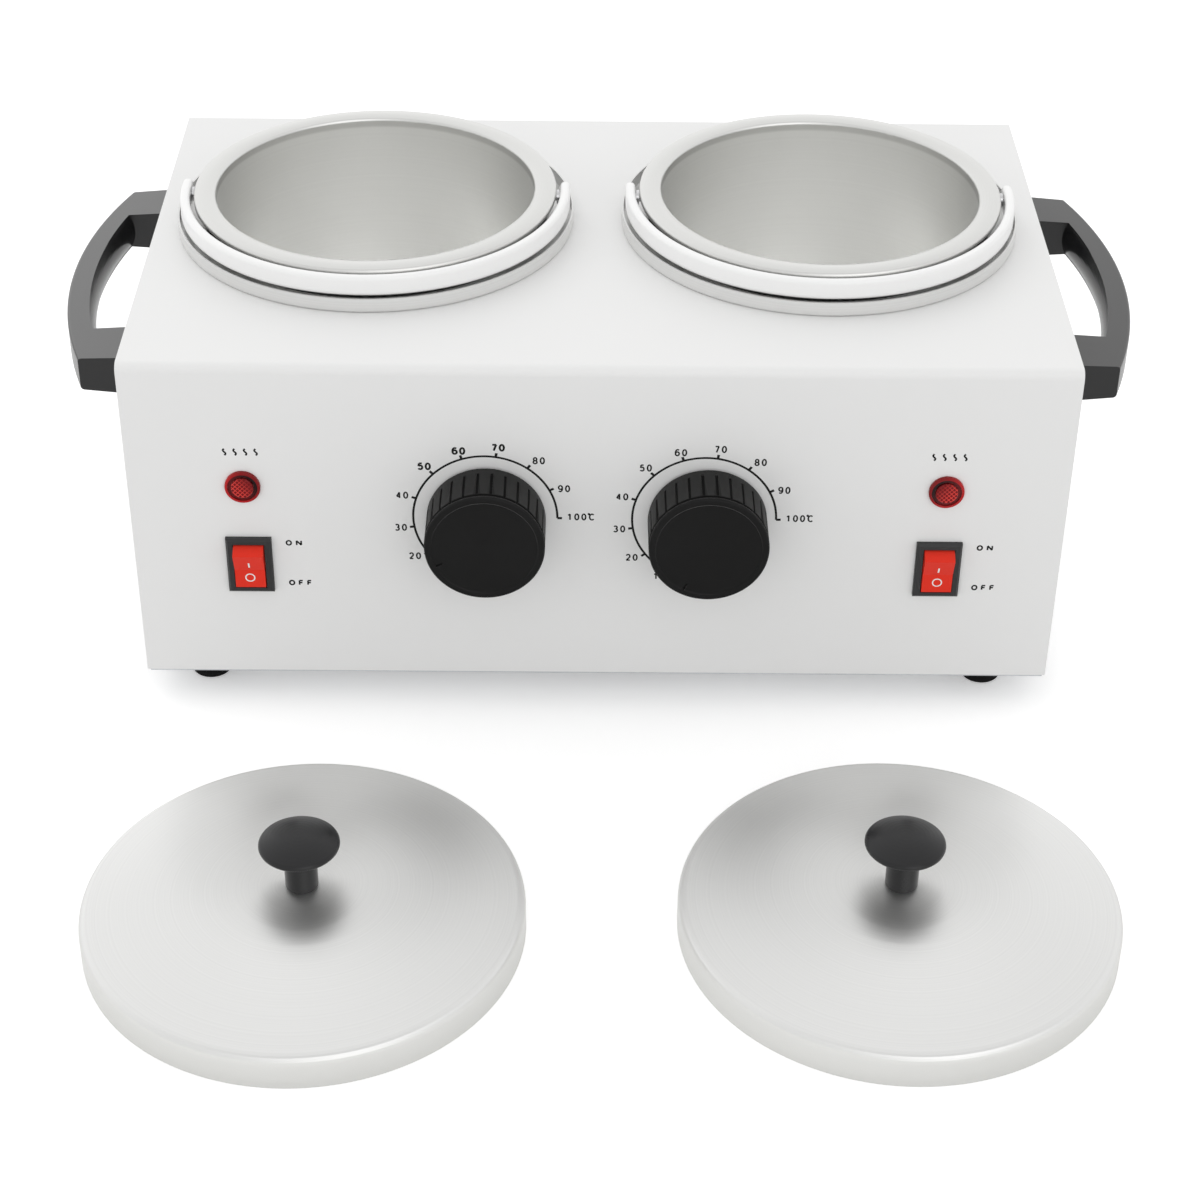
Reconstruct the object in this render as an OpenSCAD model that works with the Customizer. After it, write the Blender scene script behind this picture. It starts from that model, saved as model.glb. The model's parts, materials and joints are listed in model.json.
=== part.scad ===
// Double wax warmer: a folded steel casing with two heated wells, two lift-out pots with
// swinging bails, two dials, two rocker switches, two lamps, carrying handles and two lids.
// Millimetres. X runs to the right, Y to the rear, Z up. The origin is on the table, under
// the middle of the box that holds the warmer and the two lids lying in front of it.

/* [Casing] */
// Width of the casing, side to side
body_w = 300; // [290:1:340]
// Depth of the casing, front to rear
body_d = 182; // [174:1:210]
// Height of the casing, from its underside to its top
body_h = 117.5; // [110:0.5:140]
// Thickness of the folded casing sheet
sheet = 1.2; // [0.8:0.1:1.6]
// Outside radius of the bend along the front of the top
bend_r = 3; // [2.5:0.1:8]
// Outside radius of the bend along the rear of the top
rear_bend_r = 1.6; // [1.4:0.1:8]
// Width of the flanges folded inward on the casing and on the end panels
flange_w = 9; // [8:0.5:10]
// Thickness of the base plate
base_t = 1; // [0.8:0.1:1.5]
// Distance of the base plate's edge inside the casing's faces
base_inset = 0.8; // [0.3:0.1:2]

/* [Feet] */
// Height of a rubber foot, which is the gap under the casing
foot_h = 10; // [8:0.5:14]
// Radius of a rubber foot
foot_r = 6.75; // [6:0.25:8]
// Distance of a foot's centre from the casing's side
foot_in_x = 19; // [18:0.5:30]
// Distance of a foot's centre from the casing's front or rear
foot_in_y = 16; // [16:0.5:30]

/* [Pots and wells] */
// Distance of the pots' centres behind the middle of the casing
pot_back = 10; // [4:1:12]
// Distance of the middle between the pots to the left of the casing's middle
pots_left = 0.8; // [0:0.1:2]
// Inside radius of a pot
pot_r = 53.5; // [50:0.5:54]
// Depth of a pot, from its rim to its floor
pot_depth = 68; // [50:1:76]
// Wall thickness of a pot
pot_t = 0.8; // [0.6:0.1:1.1]
// Radius round the floor of a pot
pot_corner = 10; // [6:1:16]
// Height of the pot's rim above the casing
rim_z = 12.9; // [11.9:0.1:15]
// Radial width of the pot's rolled rim
rim_w = 7.5; // [7:0.1:8]
// Play between a pot's wall and its well
well_gap = 3.2; // [2:0.1:4]
// Wall thickness of a well
well_t = 1; // [0.8:0.1:1.5]
// Outside radius of the collar round a well
collar_r = 66.8; // [66.6:0.1:69]
// Height of the collar above the casing
collar_h = 5; // [4:0.1:5.5]

/* [Bails] */
// Gap between the pot's rim and the bail
bail_gap = 1.3; // [1:0.1:1.4]
// Thickness of a bail, measured outward from the pot
bail_t = 3.3; // [2.8:0.1:3.5]
// Height of a bail's section
bail_h = 6.8; // [6:0.1:7.2]
// Length of a bail's end behind its pin
bail_tail = 7; // [6:0.1:7.2]
// Radius of the pin that a bail swings on
pin_r = 1.4; // [1:0.1:1.6]

/* [Lids] */
// Outside radius of a lid
lid_r = 66.3; // [66.2:0.1:68]
// Height of a lid's skirt
lid_h = 11.2; // [9.5:0.1:13]
// Rise of the lid's crown above its edge
lid_rise = 7; // [3:0.5:9]
// Thickness of the lid
lid_t = 0.6; // [0.5:0.1:1]
// Radius of the knob's cap
lid_knob_r = 12; // [10:0.5:15]
// Height of the knob
lid_knob_h = 19; // [16:0.5:24]
// Distance of the left lid's centre outward from its pot's centre
lid_left_out = 12.5; // [0:0.5:20]
// Distance of the right lid's centre outward from its pot's centre
lid_right_out = 15.5; // [0:0.5:20]
// Gap on the table between the casing's front and the left lid
lid_gap = 48.3; // [35:0.1:70]
// Distance of the right lid's centre behind the left one's
lid_right_back = 2.1; // [0:0.1:10]

/* [Handles] */
// Length of a handle, front to rear
handle_l = 122; // [100:1:134]
// Length of each leg of a handle, front to rear
handle_leg = 20; // [16:0.5:24]
// Thickness of a handle along its outer edge, from its underside to its top
handle_h = 11.6; // [10:0.1:16]
// Slope of a handle's top, underside and ends, which draw in outward, in degrees
handle_draft = 3.5; // [0:0.5:5]
// Reach of a handle's end beyond the casing
handle_end = 17.5; // [14:0.5:22]
// Reach of a handle's middle beyond the casing
handle_reach = 28.9; // [26:0.1:34]
// Width of the grip
grip_w = 7.4; // [6:0.1:9]
// Distance of the top of the handles' outer edge under the casing's top
handle_drop = 15.5; // [12:0.5:25]

/* [Front panel] */
// Distance of each dial from the middle between the dials
dial_x = 35.4; // [30:0.1:44]
// Distance of the middle between the dials to the left of the casing's middle
dials_left = 0.6; // [0:0.1:2]
// Height of the dials above the casing's underside
dial_z = 62.7; // [50:0.1:68]
// Radius of a dial
dial_r = 19.1; // [18:0.1:22]
// Distance of a dial's face from the panel
dial_depth = 18.5; // [17:0.5:22]
// Number of slots round a dial
dial_slots = 27; // [20:1:36]
// Angle of the left dial's mark, counted from the right side upward
left_mark = 204; // [180:1:270]
// Angle of the right dial's mark, counted from the right side upward
right_mark = 243; // [180:1:270]
// Distance of the lamps and switches to the left of their symmetrical places
lamps_left = 1.3; // [0:0.1:2]
// Distance of each lamp's symmetrical place from the casing's side
lamp_side = 38; // [30:0.5:46]
// Height of the lamps above the casing's underside
lamp_z = 73.7; // [66:0.1:85]
// Radius of a lamp's lens
lamp_r = 5.7; // [5.2:0.1:7]
// Distance of each switch's symmetrical place from the casing's side
switch_side = 38.5; // [30:0.5:46]
// Height of the switches above the casing's underside
switch_z = 44.1; // [30:0.1:48]
// Width of a switch's frame
switch_w = 14.8; // [14.6:0.1:16]
// Height of a switch's frame
switch_h = 20.6; // [20.4:0.1:23]
// Swing of a rocker from OFF to ON, in degrees
rocker_swing = 24; // [16:1:28]

/* [Hidden] */
$fn = 96;

left = -1;
right = 1;
sides = [left, right];
// Overshoot of a cutter past the face it opens
cut = 1;
// Gap round a fixed piece in its hole
fit = 0.1;
// Gap between pieces that move past each other
play = 0.3;
// Radial running clearance of a pin or shaft in its bore
running = 0.05;

// Radii of the screws' shanks
screw_m3 = 1.5;
screw_m4 = 2;
screw_m5 = 2.5;
// Widths of the nuts across their flats
nut_m3 = 5.5;
nut_m4 = 7;
nut_m5 = 8;
// Length of a screw beyond the pieces that it holds, and of its end beyond a nut
screw_over = 4;
screw_end = 1;

// Heights and inner faces of the casing
base_top = foot_h + base_t;
top_z = foot_h + body_h;
case_h = body_h - base_t;
inner_x = body_w / 2 - sheet;
inner_y = body_d / 2 - sheet;

// Feet and the screws along the base plate's edge
foot_x = body_w / 2 - foot_in_x;
foot_y = body_d / 2 - foot_in_y;
foot_spots = [for (sx = sides, sy = sides) [sx * foot_x, sy * foot_y]];
foot_seat = 5;
foot_round = 1.5;
foot_recess_r = 3.9;
foot_nut_h = 3.2;
edge_screw_in = 32;
edge_screw_x = body_w / 2 - edge_screw_in;
edge_screw_y = inner_y - flange_w / 2;
edge_spots = [for (x = [-edge_screw_x, 0, edge_screw_x], s = sides) [x, s * edge_screw_y]];
end_screw_x = inner_x - flange_w / 2;
end_spots = [for (s = sides) [s * end_screw_x, 0]];
vent_n = 3;
vent_pitch = 12;
vent_w = 4;
vent_l = 44;

// Pots: one in the middle of each half of the casing. The rim is a crowned band with a
// small roll at each edge
pot_x = body_w / 4;
rim_r = pot_r + rim_w;
rim_edge = 1.3;
rim_crown = 8;
rim_lean = asin((rim_w / 2 - rim_edge) / (rim_crown - rim_edge));
rim_round_z = top_z + rim_z - rim_crown + (rim_crown - rim_edge) * cos(rim_lean);
lip_z = top_z + rim_z - 2.5;
pot_outer = pot_r + pot_t;
pot_floor = top_z + rim_z - pot_depth;

// Wells: the pot stands on the well's floor
well_r = pot_outer + well_gap;
well_outer = well_r + well_t;
well_hole_r = well_outer + 0.8;
well_floor = pot_floor - pot_t - play;
well_under = well_floor - well_t;
well_corner = 8;
collar_t = 0.6;
stud_r = 2.5;
stud_l = 12;

// Bails: they lie on the front half of the collar, level with their pins
bail_r = rim_r + bail_gap;
bail_low = top_z + collar_h + play;
bail_round = 1.4;
pin_z = bail_low + bail_h / 2;
pin_in = 2.2;
pin_end = 0.2;
shoulder_r = pin_r + 1;
ear_boss_r = pin_r + 0.8;
ear_t = 1;
ear_w = 16;
ear_drop = 4.5;
ear_boss_end = rim_r - 1.4;

// Heater bands, hold-down straps, cutouts and temperature sensors on the wells
band_t = 2.5;
band_r = well_outer + band_t;
band_h = 32;
band_drop = 18;
band_slit = 4;
band_lug = 10;
band_lug_t = 2;
band_turn = 45;
band_screw_x = band_r + 6;
band_nut_h = 2.4;
// Room round a band, which the end panels' flanges leave free
band_room = 2;
strap_w = 15;
strap_t = 1.5;
strap_r = band_r + 3;
strap_foot = 6;
nut_h = 4;
cutout_r = 8;
cutout_h = 8;
cutout_off = 28;
cutout_plate = [12, 34, 0.8];
bulb_r = 3;
bulb_l = 50;
bulb_z = top_z - 12;
capillary_r = 0.8;
capillary_y = 10 - body_d / 2;

// Spade blades of the electrical parts
blade_w = 4.8;
blade_t = 0.8;
blade_l = 7;

// Dials, spindles and thermostats, measured outward from the panel
dial_gap = 0.8;
dial_back = 3.2;
dial_disc = 1.6;
dial_neck = 1.1;
dial_wall = 2.6;
dial_face = 3.5;
dial_dish = 0.3;
slot_w = 0.9;
slot_deep = 0.6;
mark_r = dial_r - 4.5;
mark_l = 2.4;
mark_w = 0.8;
hub_r = 6;
spindle_r = 3;
spindle_in = 12;
spindle_out = 13;
spindle_flat = 2.2;
spindle_round = 4;
stat_bush_r = 4.6;
stat_screw_x = 12;
stat_blade_x = 8;
stat_plate = [34, 24, 1];
stat_body = [30, 34, 15];

// Switches: the rocker turns on trunnions in the frame
switch_x = body_w / 2 - switch_side;
rocker_r = 8.05;
rocker_w = 9.7;
rocker_tip = 30;
rocker_foot = -25;
rocker_dip = 2.9;
rocker_z = 0.2;
trunnion_r = 1;
trunnion_l = 1;
switch_frame = 2;
switch_bevel = 0.7;
switch_body_w = 12.8;
switch_body_h = 18.8;
switch_deep = 17;
switch_blade_y = 5;

// Lamps
lamp_x = body_w / 2 - lamp_side;
lamp_blade_x = 1.6;
lamp_ring = 1.3;
lamp_ring_w = 0.9;
lamp_groove = 0.5;
lamp_boss = 0.3;
lamp_boss_r = lamp_r - 2.1;
lamp_barrel_r = 4;
lamp_barrel = 14;
lamp_wall = 1;
lamp_spigot = 5;
lamp_clip_r = 6.5;
lamp_clip_t = 0.5;
bulb_glass_r = 2;
bulb_glass_l = 6;

// Cord inlet in the rear, terminals and earth on the base plate
gland_side = 50;
gland_x = gland_side - body_w / 2;
gland_across = 17;
gland_z = foot_h + 30;
gland_bore = 3.6;
gland_r = 6.4;
gland_flange_r = 9;
gland_flange = 2.5;
gland_out = 6;
gland_in = 10;
block_y = 45;
block_size = [36, 18, 12];
block_pitch = 11;
block_screw_y = 5;
earth_x = 40;
earth_y = 45;

// Handles: the grip runs between two arcs round one centre
handle_bulge = handle_reach - handle_end;
handle_arc = (pow(handle_l / 2, 2) + pow(handle_bulge, 2)) / (2 * handle_bulge);
handle_cx = body_w / 2 + handle_reach - handle_arc;
handle_mid = top_z - handle_drop - handle_h / 2;
handle_bolt = handle_l / 2 - handle_leg / 2;
handle_bore = 13;
handle_root_r = handle_arc - handle_reach;
handle_root_h = handle_h + 2 * handle_reach * tan(handle_draft);
handle_taper = (handle_reach + cut) * tan(handle_draft);
grip_arc = handle_arc - grip_w;
grip_swell = 1.6;
swell_r = (pow(handle_h / 2, 2) + pow(grip_swell, 2)) / (2 * grip_swell);
edge_r = 1.2;

// Lids: a crowned disc that turns into the skirt through a small radius
lid_edge = 2.8;
lid_y = -body_d / 2 - lid_gap - lid_r;
crown_r = (pow(lid_r, 2) + pow(lid_rise, 2)) / (2 * lid_rise);
crown_lean = asin((lid_r - lid_edge) / (crown_r - lid_edge));
crown_mid = lid_h - lid_edge - (crown_r - lid_edge) * cos(crown_lean);
crown_z = crown_mid + crown_r;
knob_stem_r = 4.9;
knob_rim = 1.2;
knob_dome = 3;
washer_r = 5;
washer_t = 0.8;
lid_screw_l = 12;

// The set is moved so that its box is centred on the origin
set_shift = (lid_gap + 2 * lid_r - gland_out) / 2;

// Points of an arc from angle a to angle b
function arc(cx, cy, r, a, b, n = 6) =
    [for (i = [0 : n]) let (t = a + (b - a) * i / n) [cx + r * cos(t), cy + r * sin(t)]];
function reversed(list) = [for (i = [len(list) - 1 : -1 : 0]) list[i]];

// Line along a pot's rim, from the inside over the crown to the lip, some depth into the metal
function rim_line(deep) = concat(
    arc(pot_r + rim_edge, rim_round_z, rim_edge - deep, 180, 90 + rim_lean),
    arc(pot_r + rim_w / 2, top_z + rim_z - rim_crown, rim_crown - deep,
        90 + rim_lean, 90 - rim_lean),
    arc(rim_r - rim_edge, rim_round_z, rim_edge - deep, 90 - rim_lean, 0),
    [[rim_r - deep, lip_z]]);

// Line along a lid, from its middle to the foot of its skirt, some depth into the metal
function lid_line(deep) = concat(
    arc(0, crown_mid, crown_r - deep, 90, 90 - crown_lean, 10),
    arc(lid_r - lid_edge, lid_h - lid_edge, lid_edge - deep, 90 - crown_lean, 0),
    [[lid_r - deep, 0]]);

// Rectangle with round corners, from its lower left corner
function round_box(x, y, w, h, r) = concat(
    arc(x + w - r, y + r, r, -90, 0, 4), arc(x + w - r, y + h - r, r, 0, 90, 4),
    arc(x + r, y + h - r, r, 90, 180, 4), arc(x + r, y + r, r, 180, 270, 4));

// Moves a piece so that the origin is under the middle of the set's box
module placed() translate([0, set_shift, 0]) children();
// Mirrors a piece that is drawn for the right side
module handed(side) mirror([side == left ? 1 : 0, 0, 0]) children();
// Place of a pot along the casing
function pot_at(side) = side * pot_x - pots_left;
// Places a piece on a pot's axis, at the height of the table
module at_pot(side) placed() translate([pot_at(side), pot_back, 0]) handed(side) children();
// Places a piece on the front panel: x to the right, y up, z out of the panel
module at_front(x, z) translate([x, -body_d / 2, foot_h + z]) rotate([90, 0, 0]) children();
// Places of the dials, lamps and switches along the panel
function dial_at(side) = side * dial_x - dials_left;
function lamp_at(side) = side * lamp_x - lamps_left;
function switch_at(side) = side * switch_x - lamps_left;
// Places a piece on the rear panel: z out of the panel
module at_rear() translate([gland_x, body_d / 2, gland_z]) rotate([-90, 0, 0]) children();
// Places a piece on a lid's axis, on the table
module at_lid(side) placed()
    translate(side == left ? [-pot_x - lid_left_out, lid_y, 0]
        : [pot_x + lid_right_out, lid_y + lid_right_back, 0]) children();
// A length along X of a profile drawn with Y across and Z up
module along_x(l) rotate([90, 0, 90]) linear_extrude(l) children();
// A box centred on a point in X and Y, standing on z
module block(w, d, h, x = 0, y = 0, z = 0) translate([x - w / 2, y - d / 2, z]) cube([w, d, h]);
// A shaft along X that starts at x
module rod_x(x, r, l) translate([x, 0, 0]) rotate([0, 90, 0]) cylinder(r = r, h = l);
// A shaft along Y that starts at y
module rod_y(y, r, l) translate([0, y, 0]) rotate([-90, 0, 0]) cylinder(r = r, h = l);
// Cutter through a panel whose outer face is z = 0
module panel_cut() translate([0, 0, -sheet - cut]) linear_extrude(sheet + 2 * cut) children();

// Pan head screw with a cross slot: the head stands on z = 0 and the shank goes down
module pan_screw(r, l) difference() {
    union() {
        translate([0, 0, -l]) cylinder(r = r, h = l + r / 2);
        rotate_extrude() polygon(r * [[0, 0], [1.85, 0], [1.85, 0.5], [1.7, 0.9], [1.1, 1.2],
            [0, 1.2]]);
    }
    for (a = [0, 90]) rotate([0, 0, a]) block(1.8 * r, 0.4 * r, r, z = 0.75 * r);
}

// Hexagon nut with its bore
module nut(r, across, h) difference() {
    cylinder(r = across / sqrt(3), h = h, $fn = 6);
    translate([0, 0, -cut]) cylinder(r = r, h = h + 2 * cut);
}

// Outline of a folded panel seen from the side, some depth into the metal, with a bend at
// each upper corner
module bent_outline(d, h, deep) {
    front = max(bend_r - deep, fit);
    rear = max(rear_bend_r - deep, fit);
    translate([-d / 2, 0]) square([d / 2, h - front]);
    square([d / 2, h - rear]);
    translate([front - d / 2, 0]) square([d - front - rear, h]);
    translate([front - d / 2, h - front]) circle(r = front);
    translate([d / 2 - rear, h - rear]) circle(r = rear);
}

// Casing: front, top and rear folded from one sheet, with a flange along each lower edge
module casing() color("white") placed() difference() {
    translate([-body_w / 2, 0, base_top]) along_x(body_w) difference() {
        bent_outline(body_d, case_h, 0);
        translate([0, sheet]) bent_outline(2 * inner_y, case_h - 2 * sheet, sheet);
        translate([flange_w - inner_y, -cut]) square([2 * (inner_y - flange_w), sheet + 2 * cut]);
    }
    for (s = sides) {
        translate([pot_at(s), pot_back, top_z]) panel_cut() circle(r = well_hole_r);
        at_front(dial_at(s), dial_z) panel_cut() {
            circle(r = stat_bush_r + fit);
            for (e = sides) translate([e * stat_screw_x, 0]) circle(r = screw_m3 + fit);
        }
        at_front(lamp_at(s), lamp_z) panel_cut() circle(r = lamp_barrel_r + fit);
        at_front(switch_at(s), switch_z) panel_cut()
            square([switch_body_w + 2 * fit, switch_body_h + 2 * fit], center = true);
    }
    at_rear() panel_cut() circle(r = gland_r + fit);
    for (p = edge_spots) translate([p[0], p[1], base_top + sheet]) panel_cut()
        circle(r = screw_m3 + fit);
}

// End panel: a flat plate with flanges folded inward, which closes the folded casing
module side_panel(side) color("white") placed() handed(side) difference() {
    union() {
        translate([inner_x, 0, base_top]) along_x(sheet) panel_outline(0);
        translate([inner_x - flange_w, 0, base_top]) along_x(flange_w + sheet / 2) difference() {
            panel_outline(0);
            panel_outline(sheet);
        }
    }
    for (s = sides) translate([0, s * handle_bolt, handle_mid])
        rod_x(inner_x - cut, screw_m5 + fit, sheet + 2 * cut);
    translate([end_screw_x, 0, base_top + sheet]) panel_cut() circle(r = screw_m3 + fit);
    translate([side * pot_at(side), pot_back, well_under])
        cylinder(r = band_r + band_room, h = body_h);
}

// End panel's outline inside the casing, notched for the casing's own flanges
module panel_outline(deep) difference() {
    translate([0, deep]) bent_outline(2 * (inner_y - fit - deep),
        case_h - sheet - fit - 2 * deep, sheet + deep);
    for (s = sides) translate([s * inner_y, 0])
        square([2 * (flange_w + fit), 2 * (sheet + fit)], center = true);
}

// Base plate with vent slots under the wells
module base_plate() color("gainsboro") placed() translate([0, 0, foot_h])
    linear_extrude(base_t) difference() {
        square([body_w - 2 * base_inset, body_d - 2 * base_inset], center = true);
        for (p = foot_spots) translate(p) circle(r = screw_m4 + fit);
        for (p = concat(edge_spots, end_spots)) translate(p) circle(r = screw_m3 + fit);
        translate([earth_x, earth_y]) circle(r = screw_m4 + fit);
        for (s = sides, i = [-vent_n : vent_n])
            translate([pot_at(s) + i * vent_pitch, pot_back]) vent_slot();
    }
module vent_slot() {
    square([vent_w, vent_l - vent_w], center = true);
    for (s = sides) translate([0, s * (vent_l - vent_w) / 2]) circle(r = vent_w / 2);
}

// Screws driven from below into the flanges of the casing and the end panels
module base_screws() color("silver") placed() for (p = concat(edge_spots, end_spots))
    translate([p[0], p[1], foot_h]) rotate([180, 0, 0])
        pan_screw(screw_m3, base_t + sheet + screw_over);

// Rubber feet, hollowed from below for their screws
module feet() color("black") placed() for (p = foot_spots) translate(p) difference() {
    rotate_extrude() polygon(concat([[0, 0]],
        arc(foot_r - foot_round, foot_round, foot_round, -90, 0),
        [[foot_r, foot_h - 1], [foot_r - 1, foot_h], [0, foot_h]]));
    translate([0, 0, -cut]) cylinder(r = foot_recess_r, h = foot_seat + cut);
    translate([0, 0, -cut]) cylinder(r = screw_m4 + fit, h = foot_h + 2 * cut);
}
module foot_screws() color("silver") placed() for (p = foot_spots)
    translate([p[0], p[1], foot_seat]) rotate([180, 0, 0])
        pan_screw(screw_m4, base_top - foot_seat + foot_nut_h + screw_end);
module foot_nuts() color("silver") placed() for (p = foot_spots)
    translate([p[0], p[1], base_top]) nut(screw_m4 + running, nut_m4, foot_nut_h);

// Handle: a solid disc cut to two legs and a bowed grip, swollen on its inner side
module handle(side) color("black") placed() handed(side) translate([0, 0, handle_mid])
    difference() {
        intersection() {
            translate([handle_cx, 0, 0]) rotate_extrude($fn = 180) polygon(concat(
                [[0, -handle_root_h / 2], [handle_root_r, -handle_root_h / 2]],
                arc(handle_arc - edge_r, edge_r - handle_h / 2, edge_r, -90, 0),
                arc(handle_arc - edge_r, handle_h / 2 - edge_r, edge_r, 0, 90),
                [[handle_root_r, handle_root_h / 2], [0, handle_root_h / 2]]));
            translate([body_w / 2, 0, -handle_h]) linear_extrude(2 * handle_h) polygon([
                [0, -handle_l / 2], [handle_reach + cut, handle_taper - handle_l / 2],
                [handle_reach + cut, handle_l / 2 - handle_taper], [0, handle_l / 2]]);
        }
        intersection() {
            translate([handle_cx, 0, 0]) rotate_extrude($fn = 180) polygon(concat(
                [[0, -handle_h], [grip_arc, -handle_h]],
                [for (i = [-6 : 6]) let (z = i / 12 * handle_h)
                    [grip_arc - grip_swell + swell_r - sqrt(pow(swell_r, 2) - z * z), z]],
                [[grip_arc, handle_h], [0, handle_h]]));
            block(body_w + 2 * handle_reach, handle_l - 2 * handle_leg, 3 * handle_h,
                z = -1.5 * handle_h);
        }
        for (s = sides) translate([0, s * handle_bolt, 0])
            rod_x(body_w / 2 - cut, screw_m5 + running, handle_bore + cut);
    }
module handle_screws() color("silver") placed() for (side = sides, s = sides) handed(side)
    translate([inner_x, s * handle_bolt, handle_mid]) rotate([0, -90, 0])
        pan_screw(screw_m5, sheet + handle_bore - 2 * screw_end);

// Well: spun cup with a flange on the casing's top, an upturned collar and a stud below
module well(side) color("silver") at_pot(side) {
    rotate_extrude() polygon(concat([[0, well_under]],
        arc(well_outer - well_corner - well_t, well_under + well_corner + well_t,
            well_corner + well_t, -90, 0),
        [[well_outer, top_z]],
        arc(collar_r - 1, top_z + 1, 1, -90, 0, 4),
        [[collar_r, top_z + collar_h], [collar_r - collar_t, top_z + collar_h]],
        arc(collar_r - collar_t - 0.5, top_z + well_t + 0.5, 0.5, 0, -90, 3),
        arc(well_r + 1, top_z + well_t - 1, 1, 90, 180, 4),
        arc(well_r - well_corner, well_floor + well_corner, well_corner, 0, -90),
        [[0, well_floor]]));
    translate([0, 0, well_under - stud_l]) cylinder(r = stud_r, h = stud_l + well_t / 2);
}

// Band heater round a well's wall: split, with two lugs that a screw draws together
module heater_band(side) color("tan") at_pot(side) rotate([0, 0, band_turn])
    translate([0, 0, top_z - band_drop - band_h]) difference() {
        union() {
            cylinder(r = band_r, h = band_h);
            block(band_lug + band_t, band_slit + 2 * band_lug_t, band_h / 2,
                x = band_r + (band_lug - band_t) / 2, z = band_h / 4);
        }
        translate([0, 0, -cut]) cylinder(r = well_outer + running, h = band_h + 2 * cut);
        block(2 * band_lug + band_r, band_slit, band_h + 2 * cut, x = band_r, z = -cut);
        translate([band_screw_x, 0, band_h / 2]) rod_y(-band_lug, screw_m3 + fit, 2 * band_lug);
    }
module band_screws() color("silver") for (side = sides) at_pot(side) rotate([0, 0, band_turn])
    translate([band_screw_x, 0, top_z - band_drop - band_h / 2]) rotate([-90, 0, 0]) {
        translate([0, 0, band_slit / 2 + band_lug_t])
            pan_screw(screw_m3, band_slit + 2 * band_lug_t + screw_over);
        translate([0, 0, -band_slit / 2 - band_lug_t - band_nut_h])
            nut(screw_m3 + running, nut_m3, band_nut_h);
    }

// Strap under a well, hooked against the casing's top and drawn up by a nut on the stud
module hold_down(side) color("gray") at_pot(side) difference() {
    union() {
        block(strap_w, 2 * strap_r, strap_t, z = well_under - strap_t);
        for (s = sides) {
            block(strap_w, strap_t, top_z - sheet - well_under + strap_t,
                y = s * (strap_r - strap_t / 2), z = well_under - strap_t);
            block(strap_w, strap_foot, strap_t,
                y = s * (strap_r + strap_foot / 2 - strap_t / 2), z = top_z - sheet - strap_t);
        }
    }
    translate([0, 0, well_under - strap_t - cut])
        cylinder(r = stud_r + fit, h = strap_t + 2 * cut);
}
module hold_down_nuts() color("silver") for (side = sides) at_pot(side)
    translate([0, 0, well_under - strap_t - nut_h]) nut(stud_r + running, nut_m5, nut_h);

// Thermal cutouts pressed against the undersides of the wells
module thermal_cutouts() color("black") for (side = sides) at_pot(side)
    translate([cutout_off, 0, well_under]) {
        block(cutout_plate[0], cutout_plate[1], cutout_plate[2], z = -cutout_plate[2]);
        translate([0, 0, -cutout_h]) cylinder(r = cutout_r, h = cutout_h - cutout_plate[2] / 2);
        for (s = sides) block(blade_w, blade_t, blade_l, y = s * blade_w, z = 1 - cutout_h - blade_l);
    }

// Temperature sensor: bulb against the well's wall, capillary down to the thermostat
module sensor(side) color("goldenrod") placed() handed(side) {
    drop = foot_h + dial_z + stat_body[1] / 2;
    end_x = side * dial_at(side);
    bulb_x = side * pot_at(side) - well_outer - bulb_r - fit;
    translate([bulb_x, 0, bulb_z]) {
        rod_y(pot_back - bulb_l / 2, bulb_r, bulb_l);
        rod_y(capillary_y - capillary_r, capillary_r, pot_back - bulb_l / 2 - capillary_y + 2);
    }
    translate([0, capillary_y, bulb_z])
        rod_x(bulb_x - capillary_r, capillary_r, end_x - bulb_x + 2 * capillary_r);
    translate([end_x, capillary_y, drop])
        cylinder(r = capillary_r, h = bulb_z - drop + capillary_r);
}

// Thermostat behind the panel: bracket, bush for the spindle, switch body and two blades
module thermostat(side) color("dimgray") placed() at_front(dial_at(side), dial_z) difference() {
    union() {
        translate([0, 0, -sheet - stat_plate[2]])
            cylinder(r = stat_bush_r, h = sheet + stat_plate[2] + dial_gap / 2);
        block(stat_plate[0], stat_plate[1], stat_plate[2], z = -sheet - stat_plate[2]);
        block(stat_body[0], stat_body[1], stat_body[2],
            z = -sheet - stat_plate[2] - stat_body[2]);
        for (s = sides) block(blade_w, blade_t, blade_l, x = s * stat_blade_x,
            z = 1 - sheet - stat_plate[2] - stat_body[2] - blade_l);
    }
    translate([0, 0, -spindle_in - play]) cylinder(r = spindle_r + running, h = 2 * spindle_in);
    for (s = sides) translate([s * stat_screw_x, 0, -2 * sheet - screw_over])
        cylinder(r = screw_m3 + fit, h = 2 * sheet + screw_over);
}
module thermostat_screws() color("silver") placed() for (side = sides, s = sides)
    at_front(dial_at(side) + s * stat_screw_x, dial_z) pan_screw(screw_m3, sheet + screw_over);

// Spindle between the thermostat and the dial, with a flat where the dial grips it
module spindle(side) color("silver") placed() at_front(dial_at(side), dial_z) difference() {
    translate([0, 0, -spindle_in]) cylinder(r = spindle_r, h = spindle_in + spindle_out);
    block(2 * spindle_r, spindle_r, spindle_out, y = spindle_flat + spindle_r / 2, z = spindle_round);
}

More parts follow.
